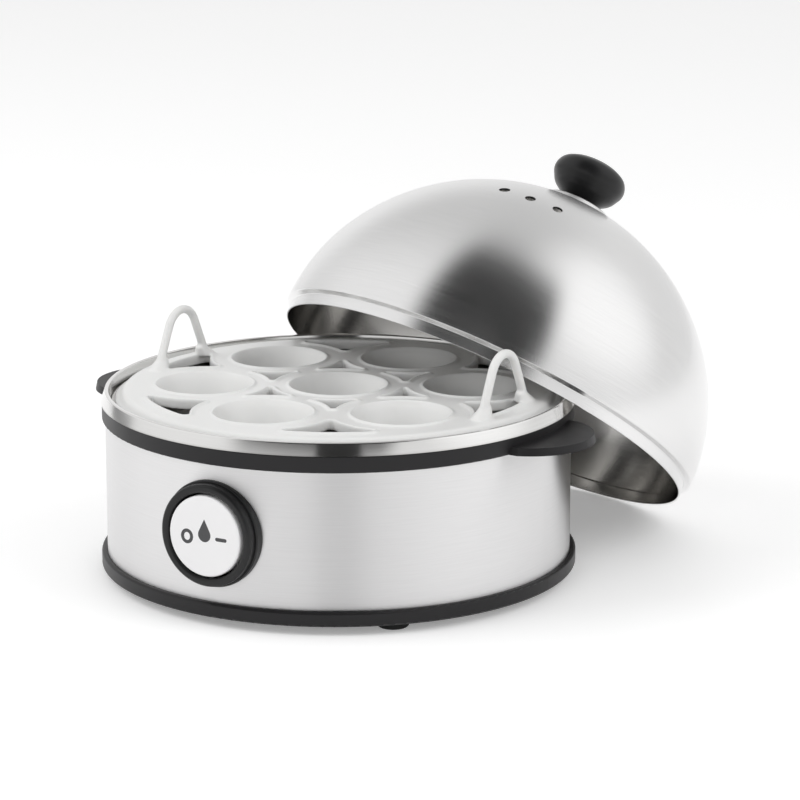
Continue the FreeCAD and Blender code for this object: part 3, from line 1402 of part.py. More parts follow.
for low, low_ends, high, inset_text in ((outer_low, outer_ends, outer_high, "0 * lid_sheet"),
                                        (inner_low, inner_ends, inner_high, "lid_sheet")):
    fix_point(lid_sketch, low, low_ends[0], f"dome_radius - {inset_text}", "dome_wall_height")
    across = lid_sketch.addConstraint(Sketcher.Constraint(
        "DistanceX", -1, 1, high, low_ends[3], number(f"boss_radius + boss_slope - {inset_text} / 2")))
    lid_sketch.setExpression(f"Constraints[{across}]",
                             sheet_text(f"boss_radius + boss_slope - {inset_text} / 2"))
    bend = lid_sketch.addConstraint(Sketcher.Constraint(
        "Radius", low, number(f"dome_shoulder_radius - {inset_text}")))
    lid_sketch.setExpression(f"Constraints[{bend}]", sheet_text(f"dome_shoulder_radius - {inset_text}"))
    level_with = lid_sketch.addConstraint(Sketcher.Constraint(
        "DistanceY", -1, 1, low, 3, number("dome_wall_height")))
    lid_sketch.setExpression(f"Constraints[{level_with}]", sheet_text("dome_wall_height"))
    lid_sketch.addConstraint(Sketcher.Constraint("PointOnObject", high, 3, -2))
    rise = "dome_apex - dome_wall_height"
    top_text = (f"(((dome_radius - dome_shoulder_radius) ^ 2 + ({rise} - {inset_text}) ^ 2"
                f" - (dome_shoulder_radius - {inset_text}) ^ 2) / (2 * ({rise} - dome_shoulder_radius)))")
    top_radius = lid_sketch.addConstraint(Sketcher.Constraint("Radius", high, number(top_text)))
    lid_sketch.setExpression(f"Constraints[{top_radius}]", sheet_text(top_text))
lid_turned = lid.newObject("PartDesign::Revolution", "lid_turned")
lid_turned.Profile = lid_sketch
lid_turned.ReferenceAxis = (lid_sketch, ["V_Axis"])
lid_turned.Angle = 360
document.recompute()
drill(lid, "lid_screw_hole", boss_top + " + overrun", [("0", "0")], "lid_screw_hole_radius",
      "lid_sheet + 2 * overrun")
drill(lid, "steam_holes", boss_top + " + overrun",
      around("steam_ring_radius", ["steam_angle - steam_step_angle", "steam_angle",
                                   "steam_angle + steam_step_angle"]),
      "steam_hole_radius", "dome_apex - dome_wall_height")
nodes["lid_shell"] = lid
knob_floor = boss_top
knob = turned("lid_knob", [
    ("knob_screw_radius + thread_gap", knob_floor),
    ("knob_stem_radius", knob_floor),
    ("knob_stem_radius", knob_floor + " + knob_stem_height", "knob_stem_radius / 6"),
    ("knob_under_radius", knob_floor + " + knob_under_height", "knob_stem_radius"),
    ("knob_radius", knob_floor + " + knob_widest", "knob_stem_radius * 5 / 6"),
    ("knob_top_radius", knob_floor + " + knob_top_edge", "knob_stem_radius * 5 / 6"),
    ("knob_dish_radius", knob_floor + " + knob_height", "knob_stem_radius * 3 / 2"),
    ("0", knob_floor + " + knob_height"),
    ("0", knob_floor + " + knob_bore_depth"),
    ("knob_screw_radius + thread_gap", knob_floor + " + knob_bore_depth"),
])
nodes["lid_knob"] = knob
nodes["knob_washer"] = turned("knob_washer", [
    ("lid_screw_hole_radius", boss_under),
    ("knob_washer_radius", boss_under),
    ("knob_washer_radius", boss_under + " - knob_washer_thickness"),
    ("lid_screw_hole_radius", boss_under + " - knob_washer_thickness"),
])
knob_screw = pan_head_screw(
    "knob_screw", "knob_washer_thickness + lid_sheet + knob_bore_depth * knob_screw_reach_share",
    "knob_screw_radius", "knob_screw_head_radius", "knob_screw_head_height")
nodes["knob_screw"] = knob_screw

# Where the lid leans: its neck clears the pan rim by the running gap and meets the floor
tilt = math.radians(number("lean_tilt_angle"))
azimuth = math.radians(number("lean_turn_angle"))
lid_axis = Vector(math.sin(tilt) * math.cos(azimuth), math.sin(tilt) * math.sin(azimuth), math.cos(tilt))
lid_side = Vector(-math.sin(azimuth), math.cos(azimuth), 0)
lid_up = lid_axis.cross(lid_side)
lean_height = number("neck_radius") * math.sin(tilt)
crest_radius = number(rim_crest_radius)
crest_height = number("pan_rim_centre")
neck_inner = number("neck_radius - lid_sheet")


def rim_clearance(reach):
    """Least distance from the inside of the neck to the pan's rolled rim."""
    centre = Vector(reach * math.cos(azimuth), reach * math.sin(azimuth), lean_height)
    least = None
    for level_share in (0, 0.25, 0.5, 0.75, 1):
        up_axis = lid_axis * (level_share * number("neck_height"))
        for step in range(720):
            angle = math.pi * step / 720
            around_neck = lid_side * (neck_inner * math.cos(angle)) + lid_up * (neck_inner * math.sin(angle))
            point = centre + up_axis + around_neck
            gap = math.hypot(math.hypot(point.x, point.y) - crest_radius, point.z - crest_height)
            if least is None or gap < least:
                least = gap
    return least - number("pan_rim_crest")


# From where the neck is clear of the rim, inwards until it meets the rim, then closer by halves
far = number("neck_radius") + crest_radius
while rim_clearance(far - number("pan_rim_crest")) > number("running_gap"):
    far -= number("pan_rim_crest")
near = far - number("pan_rim_crest")
for _ in range(20):
    middle = (near + far) / 2
    if rim_clearance(middle) < number("running_gap"):
        near = middle
    else:
        far = middle
lean_reach = far
print("lean reach", round(lean_reach, 3), "clearance", round(rim_clearance(lean_reach), 3))
lid_place = FreeCAD.Placement(FreeCAD.Matrix(
    lid_side.x, lid_up.x, lid_axis.x, lean_reach * math.cos(azimuth),
    lid_side.y, lid_up.y, lid_axis.y, lean_reach * math.sin(azimuth),
    lid_side.z, lid_up.z, lid_axis.z, lean_height,
    0, 0, 0, 1))
for name in ("lid_shell", "lid_knob", "knob_washer"):
    nodes[name].Placement = lid_place
knob_screw.Placement = lid_place.multiply(Placement(
    Vector(0, 0, number(boss_under + " - knob_washer_thickness")), Rotation()))

document.recompute()
for item in document.Objects:
    if "Invalid" in item.State or "Error" in item.State:
        raise RuntimeError(f"{item.Label} failed: {item.State}")
for name, item in nodes.items():
    item.Label = name
    shape = item.Shape
    if shape.isNull() or not shape.isValid():
        raise RuntimeError(f"{name} has no valid shape")
os.makedirs("parts", exist_ok=True)
for name, item in nodes.items():
    item.Shape.exportStep(f"parts/{name}.step")
    print(name, len(item.Shape.Solids), round(item.Shape.Volume, 1))
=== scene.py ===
import bpy
import bmesh
import json
import math
from mathutils import Matrix, Vector


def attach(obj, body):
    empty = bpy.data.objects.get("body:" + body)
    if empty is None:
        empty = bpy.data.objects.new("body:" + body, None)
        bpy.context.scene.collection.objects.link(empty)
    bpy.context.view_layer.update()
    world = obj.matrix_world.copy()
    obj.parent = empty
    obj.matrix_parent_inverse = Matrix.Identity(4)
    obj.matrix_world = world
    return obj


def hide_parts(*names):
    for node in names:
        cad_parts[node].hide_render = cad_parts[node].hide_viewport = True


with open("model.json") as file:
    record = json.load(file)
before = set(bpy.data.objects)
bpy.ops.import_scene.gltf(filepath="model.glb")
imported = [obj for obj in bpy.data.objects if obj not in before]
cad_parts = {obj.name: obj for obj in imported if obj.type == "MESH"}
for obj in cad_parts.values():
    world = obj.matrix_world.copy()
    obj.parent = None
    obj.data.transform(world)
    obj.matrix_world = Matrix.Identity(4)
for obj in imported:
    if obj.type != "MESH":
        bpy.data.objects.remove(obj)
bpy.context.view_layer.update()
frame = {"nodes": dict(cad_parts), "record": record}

MM = 0.001
scene = bpy.context.scene
nodes = frame["nodes"]

# Where the lid leans, worked out from its shell as the part places it
LEAN_TILT = math.radians(35.5)
LEAN_AZIMUTH = math.radians(72.9)
NECK_RADIUS = 77.4 * MM
LEAN_REACH = 68.761 * MM


def lid_matrix():
    axis = Vector((math.sin(LEAN_TILT) * math.cos(LEAN_AZIMUTH),
                   math.sin(LEAN_TILT) * math.sin(LEAN_AZIMUTH),
                   math.cos(LEAN_TILT)))
    side = Vector((-math.sin(LEAN_AZIMUTH), math.cos(LEAN_AZIMUTH), 0))
    up = axis.cross(side)
    centre = Vector((LEAN_REACH * math.cos(LEAN_AZIMUTH), LEAN_REACH * math.sin(LEAN_AZIMUTH),
                     NECK_RADIUS * math.sin(LEAN_TILT)))
    matrix = Matrix((side, up, axis)).transposed().to_4x4()
    matrix.translation = centre
    return matrix


# Small helpers for node materials
def new_material(name):
    material = bpy.data.materials.new(name)
    material.use_nodes = True
    tree = material.node_tree
    shader = tree.nodes["Principled BSDF"]
    return material, tree, shader


def add(tree, kind, **values):
    node = tree.nodes.new(kind)
    for key, value in values.items():
        setattr(node, key, value)
    return node


def link(tree, source, target):
    tree.links.new(source, target)


def feed(tree, value, socket):
    """Link an output to a socket, or set the socket where the value is a plain number."""
    if isinstance(value, bpy.types.NodeSocket):
        link(tree, value, socket)
    else:
        socket.default_value = value


def calc(tree, operation, one, two=None, three=None):
    node = add(tree, "ShaderNodeMath", operation=operation)
    for socket, value in zip(node.inputs, (one, two, three)):
        if value is not None:
            feed(tree, value, socket)
    return node.outputs[0]


def vector_calc(tree, operation, one, two=None):
    node = add(tree, "ShaderNodeVectorMath", operation=operation)
    feed(tree, one, node.inputs[0])
    if two is not None:
        feed(tree, two, node.inputs[1])
    return node


def object_coordinates(tree, scale):
    coordinates = add(tree, "ShaderNodeTexCoord")
    mapping = add(tree, "ShaderNodeMapping")
    mapping.inputs["Scale"].default_value = scale
    link(tree, coordinates.outputs["Object"], mapping.inputs["Vector"])
    return mapping.outputs["Vector"]


def noise(tree, vector, scale, detail=2.0, roughness=0.5):
    node = add(tree, "ShaderNodeTexNoise")
    node.inputs["Scale"].default_value = scale
    node.inputs["Detail"].default_value = detail
    node.inputs["Roughness"].default_value = roughness
    link(tree, vector, node.inputs["Vector"])
    return node.outputs["Fac"]


def spread(tree, value, low, high, from_low=0.0, from_high=1.0):
    node = add(tree, "ShaderNodeMapRange")
    node.inputs["From Min"].default_value = from_low
    node.inputs["From Max"].default_value = from_high
    node.inputs["To Min"].default_value = low
    node.inputs["To Max"].default_value = high
    link(tree, value, node.inputs["Value"])
    return node.outputs["Result"]


def soft_step(tree, value, start, finish, low=0.0, high=1.0):
    node = add(tree, "ShaderNodeMapRange", interpolation_type="SMOOTHSTEP")
    node.inputs["From Min"].default_value = start
    node.inputs["From Max"].default_value = finish
    node.inputs["To Min"].default_value = low
    node.inputs["To Max"].default_value = high
    link(tree, value, node.inputs["Value"])
    return node.outputs["Result"]


def ramp(tree, value, stops):
    node = add(tree, "ShaderNodeValToRGB")
    elements = node.color_ramp.elements
    while len(elements) < len(stops):
        elements.new(0.5)
    for element, (place, colour) in zip(elements, stops):
        element.position = place
        element.color = (*colour, 1.0)
    link(tree, value, node.inputs["Fac"])
    return node.outputs["Color"]


def bump(tree, shader, height, strength, distance):
    node = add(tree, "ShaderNodeBump")
    node.inputs["Strength"].default_value = strength
    node.inputs["Distance"].default_value = distance
    link(tree, height, node.inputs["Height"])
    link(tree, node.outputs["Normal"], shader.inputs["Normal"])
    return node


def turned_lines(tree, centre, side, up, axis, fineness, drift):
    """Grooves that run round an axis, as a lathe or a polishing wheel leaves them.

    Returns the groove height from 0 to 1 and the direction that runs round the axis.
    """
    coordinates = add(tree, "ShaderNodeTexCoord")
    place = vector_calc(tree, "SUBTRACT", coordinates.outputs["Object"], centre).outputs[0]
    across = vector_calc(tree, "DOT_PRODUCT", place, side).outputs["Value"]
    upward = vector_calc(tree, "DOT_PRODUCT", place, up).outputs["Value"]
    along = vector_calc(tree, "DOT_PRODUCT", place, axis).outputs["Value"]
    radius = calc(tree, "SQRT", calc(tree, "ADD", calc(tree, "MULTIPLY", across, across),
                                     calc(tree, "MULTIPLY", upward, upward)))
    safe_radius = calc(tree, "MAXIMUM", radius, 0.5 * MM)
    combined = add(tree, "ShaderNodeCombineXYZ")
    link(tree, calc(tree, "MULTIPLY", radius, fineness), combined.inputs[0])
    link(tree, calc(tree, "MULTIPLY", along, fineness), combined.inputs[1])
    across_share = calc(tree, "DIVIDE", across, safe_radius)
    link(tree, calc(tree, "MULTIPLY", across_share, drift), combined.inputs[2])
    grooves = add(tree, "ShaderNodeTexNoise", noise_dimensions="4D")
    grooves.inputs["Scale"].default_value = 1.0
    grooves.inputs["Detail"].default_value = 3.0
    grooves.inputs["Roughness"].default_value = 0.65
    link(tree, combined.outputs[0], grooves.inputs["Vector"])
    upward_share = calc(tree, "DIVIDE", upward, safe_radius)
    link(tree, calc(tree, "MULTIPLY", upward_share, drift), grooves.inputs["W"])
    across_axis = vector_calc(tree, "CROSS_PRODUCT", axis, place).outputs[0]
    round_way = vector_calc(tree, "NORMALIZE", across_axis)
    return grooves.outputs["Fac"], round_way.outputs[0]


def turned_steel(name, colour, roughness, anisotropic, fineness, drift, variation, groove_strength,
                 centre=(0, 0, 0), side=(1, 0, 0), up=(0, 1, 0), axis=(0, 0, 1), rough_spread=0.05):
    """Stainless steel brushed round an axis, with cloudy gloss and faint handling marks."""
    material, tree, shader = new_material(name)
    shader.inputs["Metallic"].default_value = 1.0
    shader.inputs["Anisotropic"].default_value = anisotropic
    shader.inputs["Anisotropic Rotation"].default_value = 0.25
    grooves, round_way = turned_lines(tree, centre, side, up, axis, fineness, drift)
    clouds = noise(tree, object_coordinates(tree, (1, 1, 1)), 22.0, 3.0, 0.5)
    mixed = calc(tree, "ADD", calc(tree, "MULTIPLY", grooves, 0.7), calc(tree, "MULTIPLY", clouds, 0.3))
    dark = tuple(c * (1 - variation) for c in colour)
    light = tuple(min(1.0, c * (1 + variation)) for c in colour)
    link(tree, ramp(tree, mixed, [(0.3, dark), (0.7, light)]), shader.inputs["Base Color"])
    link(tree, spread(tree, mixed, roughness - rough_spread, roughness + rough_spread, 0.3, 0.7),
         shader.inputs["Roughness"])
    link(tree, round_way, shader.inputs["Tangent"])
    if groove_strength:
        bump(tree, shader, grooves, groove_strength, 0.00001)
    return material


def darken_where(material, mask, colour, roughness):
    """Give the masked part of a material another base colour and gloss."""
    tree = material.node_tree
    shader = tree.nodes["Principled BSDF"]
    old_colour = shader.inputs["Base Color"].links[0].from_socket
    old_roughness = shader.inputs["Roughness"].links[0].from_socket
    mixed = add(tree, "ShaderNodeMix", data_type="RGBA", blend_type="MULTIPLY")
    link(tree, mask, mixed.inputs[0])
    link(tree, old_colour, mixed.inputs[6])
    mixed.inputs[7].default_value = (*colour, 1.0)
    link(tree, mixed.outputs[2], shader.inputs["Base Color"])
    rough = add(tree, "ShaderNodeMix", data_type="FLOAT")
    link(tree, mask, rough.inputs[0])
    link(tree, old_roughness, rough.inputs[2])
    link(tree, calc(tree, "ADD", old_roughness, roughness), rough.inputs[3])
    link(tree, rough.outputs[0], shader.inputs["Roughness"])


def steel(name, colour, rough_low, rough_high, line_scale, grain_scale, line_strength, anisotropic=0.0,
          variation=0.04):
    """Rolled or plated metal: faint lines from stretched noise, cloudy gloss."""
    material, tree, shader = new_material(name)
    shader.inputs["Metallic"].default_value = 1.0
    shader.inputs["Anisotropic"].default_value = anisotropic
    lines = noise(tree, object_coordinates(tree, line_scale), grain_scale, 3.0, 0.6)
    clouds = noise(tree, object_coordinates(tree, (1, 1, 1)), 18.0, 2.0, 0.5)
    mixed = calc(tree, "ADD", lines, spread(tree, clouds, -0.15, 0.15))
    dark = tuple(c * (1 - variation) for c in colour)
    light = tuple(min(1.0, c * (1 + variation)) for c in colour)
    link(tree, ramp(tree, mixed, [(0.25, dark), (0.75, light)]), shader.inputs["Base Color"])
    link(tree, spread(tree, mixed, rough_low, rough_high, 0.25, 0.75), shader.inputs["Roughness"])
    bump(tree, shader, lines, line_strength, 0.00002)
    return material


def plastic(name, colour, roughness, grain_scale, grain_strength, variation=0.05, gloss_spread=0.06,
            specular=0.5, soft=0.0):
    """Moulded plastic: even colour with a fine grain and slightly uneven gloss."""
    material, tree, shader = new_material(name)
    shader.inputs["IOR"].default_value = 1.49
    shader.inputs["Specular IOR Level"].default_value = specular
    if soft:
        shader.inputs["Subsurface Weight"].default_value = soft
        shader.inputs["Subsurface Radius"].default_value = (0.0016, 0.0015, 0.0014)
        shader.inputs["Subsurface Scale"].default_value = 1.0
    clouds = noise(tree, object_coordinates(tree, (1, 1, 1)), 35.0, 3.0, 0.55)
    dark = tuple(c * (1 - variation) for c in colour)
    light = tuple(min(1.0, c * (1 + variation)) for c in colour)
    link(tree, ramp(tree, clouds, [(0.3, dark), (0.7, light)]), shader.inputs["Base Color"])
    link(tree, spread(tree, clouds, roughness - gloss_spread, roughness + gloss_spread, 0.3, 0.7),
         shader.inputs["Roughness"])
    grain = noise(tree, object_coordinates(tree, (1, 1, 1)), grain_scale, 2.0, 0.5)
    bump(tree, shader, grain, grain_strength, 0.00003)
    return material


lid_place = lid_matrix()
lid_side, lid_up, lid_axis = (tuple(lid_place.col[i][:3]) for i in range(3))
lid_centre = tuple(lid_place.translation)
materials = {
    "black_plastic": plastic("black_plastic", (0.0135, 0.013, 0.014), 0.42, 1600.0, 0.25, specular=0.3),
    "control_black": plastic("control_black", (0.0105, 0.0105, 0.011), 0.33, 1200.0, 0.12,
                             specular=0.35),
    "control_white": plastic("control_white", (0.88, 0.875, 0.88), 0.34, 900.0, 0.05, 0.01, 0.03, 0.4),
    "symbol_grey": plastic("symbol_grey", (0.055, 0.055, 0.058), 0.3, 900.0, 0.05),
    "tray_white": plastic("tray_white", (0.83, 0.83, 0.82), 0.36, 1100.0, 0.06, 0.012, 0.04, 0.4, 0.12),
    "band_steel": turned_steel("band_steel", (0.80, 0.795, 0.797), 0.40, 0.88, 2600.0, 5.0, 0.035, 0.04,
                               rough_spread=0.03),
    "pan_steel": turned_steel("pan_steel", (0.80, 0.795, 0.785), 0.13, 0.5, 1500.0, 4.0, 0.03, 0.0,
                              rough_spread=0.02),
    "lid_steel": turned_steel("lid_steel", (0.81, 0.807, 0.805), 0.245, 0.75, 3000.0, 5.0, 0.04, 0.03,
                              lid_centre, lid_side, lid_up, lid_axis, 0.03),
    "fastener_steel": steel("fastener_steel", (0.55, 0.55, 0.54), 0.25, 0.4, (1, 1, 1), 300.0, 0.1),
    "heater_aluminium": steel("heater_aluminium", (0.72, 0.72, 0.73), 0.3, 0.45, (1, 30, 1), 60.0, 0.1),
    "element_steel": steel("element_steel", (0.30, 0.28, 0.26), 0.35, 0.5, (1, 1, 1), 200.0, 0.15,
                           variation=0.2),
    "foot_rubber": plastic("foot_rubber", (0.012, 0.012, 0.012), 0.7, 1500.0, 0.4, specular=0.3),
    "seal_rubber": plastic("seal_rubber", (0.6, 0.59, 0.57), 0.5, 900.0, 0.2),
    "terminal_plastic": plastic("terminal_plastic", (0.62, 0.6, 0.55), 0.5, 900.0, 0.2),
    "switch_plastic": plastic("switch_plastic", (0.03, 0.03, 0.03), 0.45, 900.0, 0.2),
    "brass_screw": steel("brass_screw", (0.72, 0.55, 0.26), 0.25, 0.4, (1, 1, 1), 300.0, 0.1),
    "lamp_glass": plastic("lamp_glass", (0.8, 0.35, 0.15), 0.1, 300.0, 0.05),
}

# Painted shade: the lid's inside gets a darker base colour than its outside, standing in for the shade
# inside the dome, and a slightly lower roughness
tree = materials["lid_steel"].node_tree
coordinates = add(tree, "ShaderNodeTexCoord")
middle = tuple(Vector(lid_centre) + 6 * MM * Vector(lid_axis))
outward = vector_calc(tree, "NORMALIZE", vector_calc(tree, "SUBTRACT", coordinates.outputs["Object"],
                                                     middle).outputs[0]).outputs[0]
surface = add(tree, "ShaderNodeNewGeometry")
facing = vector_calc(tree, "DOT_PRODUCT", outward, surface.outputs["True Normal"])
darken_where(materials["lid_steel"], soft_step(tree, facing.outputs["Value"], 0.02, -0.25),
             (0.72, 0.71, 0.69), -0.09)

# Painted shade: the walls of the steam holes get a near-black base colour, standing in for the shade inside
# the holes, and a higher roughness
STEAM_RING = 48.8 * MM
STEAM_RADIUS = 1.8 * MM
STEAM_HEIGHT = 65 * MM
steam_angles = [math.radians(116.3 + 12.3 * step) for step in (-1, 0, 1)]
painted_hole_shade = None
for angle in steam_angles:
    middle = lid_place @ Vector((STEAM_RING * math.cos(angle), STEAM_RING * math.sin(angle), STEAM_HEIGHT))
    offset = vector_calc(tree, "SUBTRACT", coordinates.outputs["Object"], tuple(middle)).outputs[0]
    across_axis = vector_calc(tree, "CROSS_PRODUCT", offset, lid_axis).outputs[0]
    off_axis = vector_calc(tree, "LENGTH", across_axis).outputs["Value"]
    inside_hole = soft_step(tree, off_axis, STEAM_RADIUS + 0.08 * MM, STEAM_RADIUS + 0.01 * MM)
    painted_hole_shade = inside_hole if painted_hole_shade is None else calc(tree, "MAXIMUM", painted_hole_shade, inside_hole)
darken_where(materials["lid_steel"], painted_hole_shade, (0.06, 0.06, 0.06), 0.3)

# Painted shade: below its rim the pan gets a dark base colour, standing in for the shade under the tray,
# and a higher roughness
tree = materials["pan_steel"].node_tree
coordinates = add(tree, "ShaderNodeTexCoord")
place_parts = add(tree, "ShaderNodeSeparateXYZ")
link(tree, coordinates.outputs["Object"], place_parts.inputs[0])
darken_where(materials["pan_steel"], soft_step(tree, place_parts.outputs["Z"], 61.0 * MM, 58.5 * MM),
             (0.22, 0.205, 0.185), 0.16)

slot_of = {entry["node"]: entry["material_slot"] for entry in frame["record"]["subparts"]}
for node_name, item in nodes.items():
    item.data.materials.clear()
    item.data.materials.append(materials[slot_of[node_name]])


# Small helpers for meshes
def finish_mesh(mesh, name, smooth=True):
    bmesh.ops.recalc_face_normals(mesh, faces=mesh.faces)
    data = bpy.data.meshes.new(name)
    mesh.to_mesh(data)
    mesh.free()
    if smooth:
        data.shade_smooth()
    item = bpy.data.objects.new(name, data)
    scene.collection.objects.link(item)
    return item


def rounded_profile(points, arc_steps=8):
    """Replace the corners of a closed profile of (radius, height, rounding) points by arcs."""
    result = []
    count = len(points)
    for index, (x, y, rounding) in enumerate(points):
        here = Vector((x, y))
        if rounding == 0:
            result.append((here.x, here.y))
            continue
        before = (Vector(points[index - 1][:2]) - here).normalized()
        after = (Vector(points[(index + 1) % count][:2]) - here).normalized()
        half = before.angle(after) / 2
        reach = rounding / math.tan(half)
        centre = here + (before + after).normalized() * rounding / math.sin(half)
        start = here + before * reach - centre
        finish = here + after * reach - centre
        turn = start.angle_signed(finish)
        for step in range(arc_steps + 1):
            angle = -turn * step / arc_steps
            cosine, sine = math.cos(angle), math.sin(angle)
            result.append((centre.x + start.x * cosine - start.y * sine,
                           centre.y + start.x * sine + start.y * cosine))
    return result


def lathe(name, profile, matrix, steps):
    """Turn a closed profile of (radius, height) pairs about the matrix's own Z axis."""
    mesh = bmesh.new()
    rings = []
    for radius, height in profile:
        if radius == 0:
            rings.append([mesh.verts.new(matrix @ Vector((0, 0, height)))])
        else:
            rings.append([mesh.verts.new(matrix @ Vector((radius * math.cos(2 * math.pi * k / steps),
                                                          radius * math.sin(2 * math.pi * k / steps),
                                                          height))) for k in range(steps)])
    pairs = list(zip(rings, rings[1:]))
    if len(rings[0]) > 1 or len(rings[-1]) > 1:
        pairs.append((rings[-1], rings[0]))
    for one, two in pairs:
        if len(one) == 1 and len(two) == 1:
            continue
        for k in range(steps):
            n = (k + 1) % steps
            corners = []
            for corner in (one[k % len(one)], one[n % len(one)], two[n % len(two)], two[k % len(two)]):
                if corner not in corners:
                    corners.append(corner)
            mesh.faces.new(corners)
    return finish_mesh(mesh, name)


def sharp_by_angle(item, degrees):
    data = item.data
    mesh = bmesh.new()
    mesh.from_mesh(data)
    limit = math.radians(degrees)
    for edge in mesh.edges:
        if len(edge.link_faces) == 2 and edge.calc_face_angle() > limit:
            edge.smooth = False
    mesh.to_mesh(data)
    mesh.free()


def in_mm(points):
    return [(radius * MM, height * MM, rounding * MM) for radius, height, rounding in points]


# Boiling pan, pressed from one sheet: floor, wall, shelf and the tall rim folded down outside
LARGE_ROUND_STEPS = 360
pan = lathe("pan_pressing", rounded_profile(in_mm([
    (0, 41.0, 0),
    (62.5, 41.0, 5.0),
    (66.0, 59.6, 1.4),
    (78.0, 59.6, 0.8),
    (78.7, 64.3, 0.6),
    (79.95, 64.3, 0.6),
    (81.35, 60.15, 0),
    (80.7, 60.15, 0),
    (79.6, 63.6, 0.2),
    (79.3, 63.6, 0.1),
    (78.75, 58.9, 1.4),
    (66.6, 58.9, 0.7),
    (63.1, 40.3, 5.6),
    (0, 40.3, 0),
])), Matrix.Identity(4), LARGE_ROUND_STEPS)
sharp_by_angle(pan, 50)
pan.data.materials.append(materials["pan_steel"])
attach(pan, "base")
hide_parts("boiling_pan")

# Lid, spun from one sheet: the part's own profile turned finer, with its screw hole and steam holes
CROWN = (0.0, 0.711)
SHOULDER = (9.4, 5.8)
JOIN = math.degrees(math.atan2(SHOULDER[1] - CROWN[1], SHOULDER[0] - CROWN[0]))
CROWN_RADII = (80.66, 80.09)
SHOULDER_RADII = (69.97, 69.4)
BOSS_ANGLES = (80.58, 80.73)
CROWN_STEPS = 36
SHOULDER_STEPS = 20


def arc_points(centre, radius, start, finish, steps):
    turns = [math.radians(start + (finish - start) * step / steps) for step in range(steps + 1)]
    return [(centre[0] + radius * math.cos(turn), centre[1] + radius * math.sin(turn), 0)
            for turn in turns]


lid_profile = [(2.0, 82.4, 0), (12.0, 82.4, 0.8), (13.2, 80.28, 0.6)]
lid_profile += arc_points(CROWN, CROWN_RADII[0], BOSS_ANGLES[0], JOIN, CROWN_STEPS)[1:]
lid_profile += arc_points(SHOULDER, SHOULDER_RADII[0], JOIN, 0, SHOULDER_STEPS)[1:]
lid_profile += [(79.37, 4.8, 0.35), (77.38, 4.0, 0.3), (77.38, 0, 0.15),
                (76.8, 0, 0.15), (76.8, 4.3, 0.3), (78.8, 5.1, 0.3)]
lid_profile += arc_points(SHOULDER, SHOULDER_RADII[1], 0, JOIN, SHOULDER_STEPS)
lid_profile += arc_points(CROWN, CROWN_RADII[1], JOIN, BOSS_ANGLES[1], CROWN_STEPS)[1:]
lid_profile += [(11.7, 81.8, 0.5), (2.0, 81.8, 0)]
lid = lathe("lid_spinning", rounded_profile(in_mm(lid_profile), 6), lid_place, LARGE_ROUND_STEPS)
cutter_mesh = bmesh.new()
for angle in steam_angles:
    middle = Matrix.Translation((STEAM_RING * math.cos(angle), STEAM_RING * math.sin(angle), STEAM_HEIGHT))
    bmesh.ops.create_cone(cutter_mesh, cap_ends=True, segments=48, radius1=STEAM_RADIUS,
                          radius2=STEAM_RADIUS, depth=12 * MM, matrix=lid_place @ middle)
cutter = finish_mesh(cutter_mesh, "steam_cutter", False)
cut = lid.modifiers.new("steam_holes", "BOOLEAN")
cut.object = cutter
cut.solver = "EXACT"
bpy.context.view_layer.update()
pierced = bpy.data.meshes.new_from_object(lid.evaluated_get(bpy.context.evaluated_depsgraph_get()))
lid.modifiers.clear()
bpy.data.objects.remove(cutter)
lid.data = pierced
pierced.name = "lid_spinning"
pierced.shade_smooth()
sharp_by_angle(lid, 40)

BOSS_FOOT = 13.5
FACE_MARGIN = 0.05


def dome_normal(point):
    """The dome's own outward direction at a point of the lid, or None off its two rounded faces."""
    radius, rise = math.hypot(point.x, point.y) / MM, point.z / MM
    if radius < BOSS_FOOT or rise < SHOULDER[1]:
        return None
    on_crown = math.degrees(math.atan2(rise - CROWN[1], radius)) > JOIN
    centre, radii = (CROWN, CROWN_RADII) if on_crown else (SHOULDER, SHOULDER_RADII)
    away = Vector((radius - centre[0], rise - centre[1]))
    if min(abs(away.length - known) for known in radii) > FACE_MARGIN:
        return None
    away.normalize()
    return Vector((away.x * point.x / MM / radius, away.x * point.y / MM / radius, away.y))


turn_back = lid_place.inverted()
turn_out = lid_place.to_3x3()
exact = []
for vertex in pierced.vertices:
    found = dome_normal(turn_back @ vertex.co)
    exact.append(None if found is None else turn_out @ found)
corners = [corner.vector.copy() for corner in pierced.corner_normals]
for polygon in pierced.polygons:
    for index in polygon.loop_indices:
        direction = exact[pierced.loops[index].vertex_index]
        if direction is None:
            continue
        agreement = polygon.normal.dot(direction)
        if abs(agreement) > 0.97:
            corners[index] = direction if agreement > 0 else -direction
pierced.normals_split_custom_set(corners)
pierced.materials.clear()
pierced.materials.append(materials["lid_steel"])
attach(lid, "lid")
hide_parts("lid_shell")

# Egg tray: one soft-edged moulding made from the plate, the seats and the two loops
tray_nodes = [name for name in nodes if name.startswith(("egg_tray", "egg_seat_", "tray_loop_"))]
mesh = bmesh.new()
for name in tray_nodes:
    mesh.from_mesh(nodes[name].data)
bmesh.ops.remove_doubles(mesh, verts=mesh.verts, dist=1e-6)
tray = finish_mesh(mesh, "tray_moulding")
remesh = tray.modifiers.new("remesh", "REMESH")
remesh.mode = "VOXEL"
remesh.voxel_size = 0.45 * MM
soften = tray.modifiers.new("soften", "SMOOTH")
soften.factor = 0.5
soften.iterations = 7
bpy.context.view_layer.update()
shaped = bpy.data.meshes.new_from_object(tray.evaluated_get(bpy.context.evaluated_depsgraph_get()))
tray.modifiers.clear()
tray.data = shaped
shaped.name = "tray_moulding"
shaped.shade_smooth()
shaped.materials.clear()
shaped.materials.append(materials["tray_white"])
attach(tray, "tray")
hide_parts(*tray_nodes)

# Control disc with its ring and dash symbols
CONTROL_HEIGHT = 31.3 * MM
DISC_FRONT = -84.88 * MM
SYMBOL_FRONT = -84.9 * MM


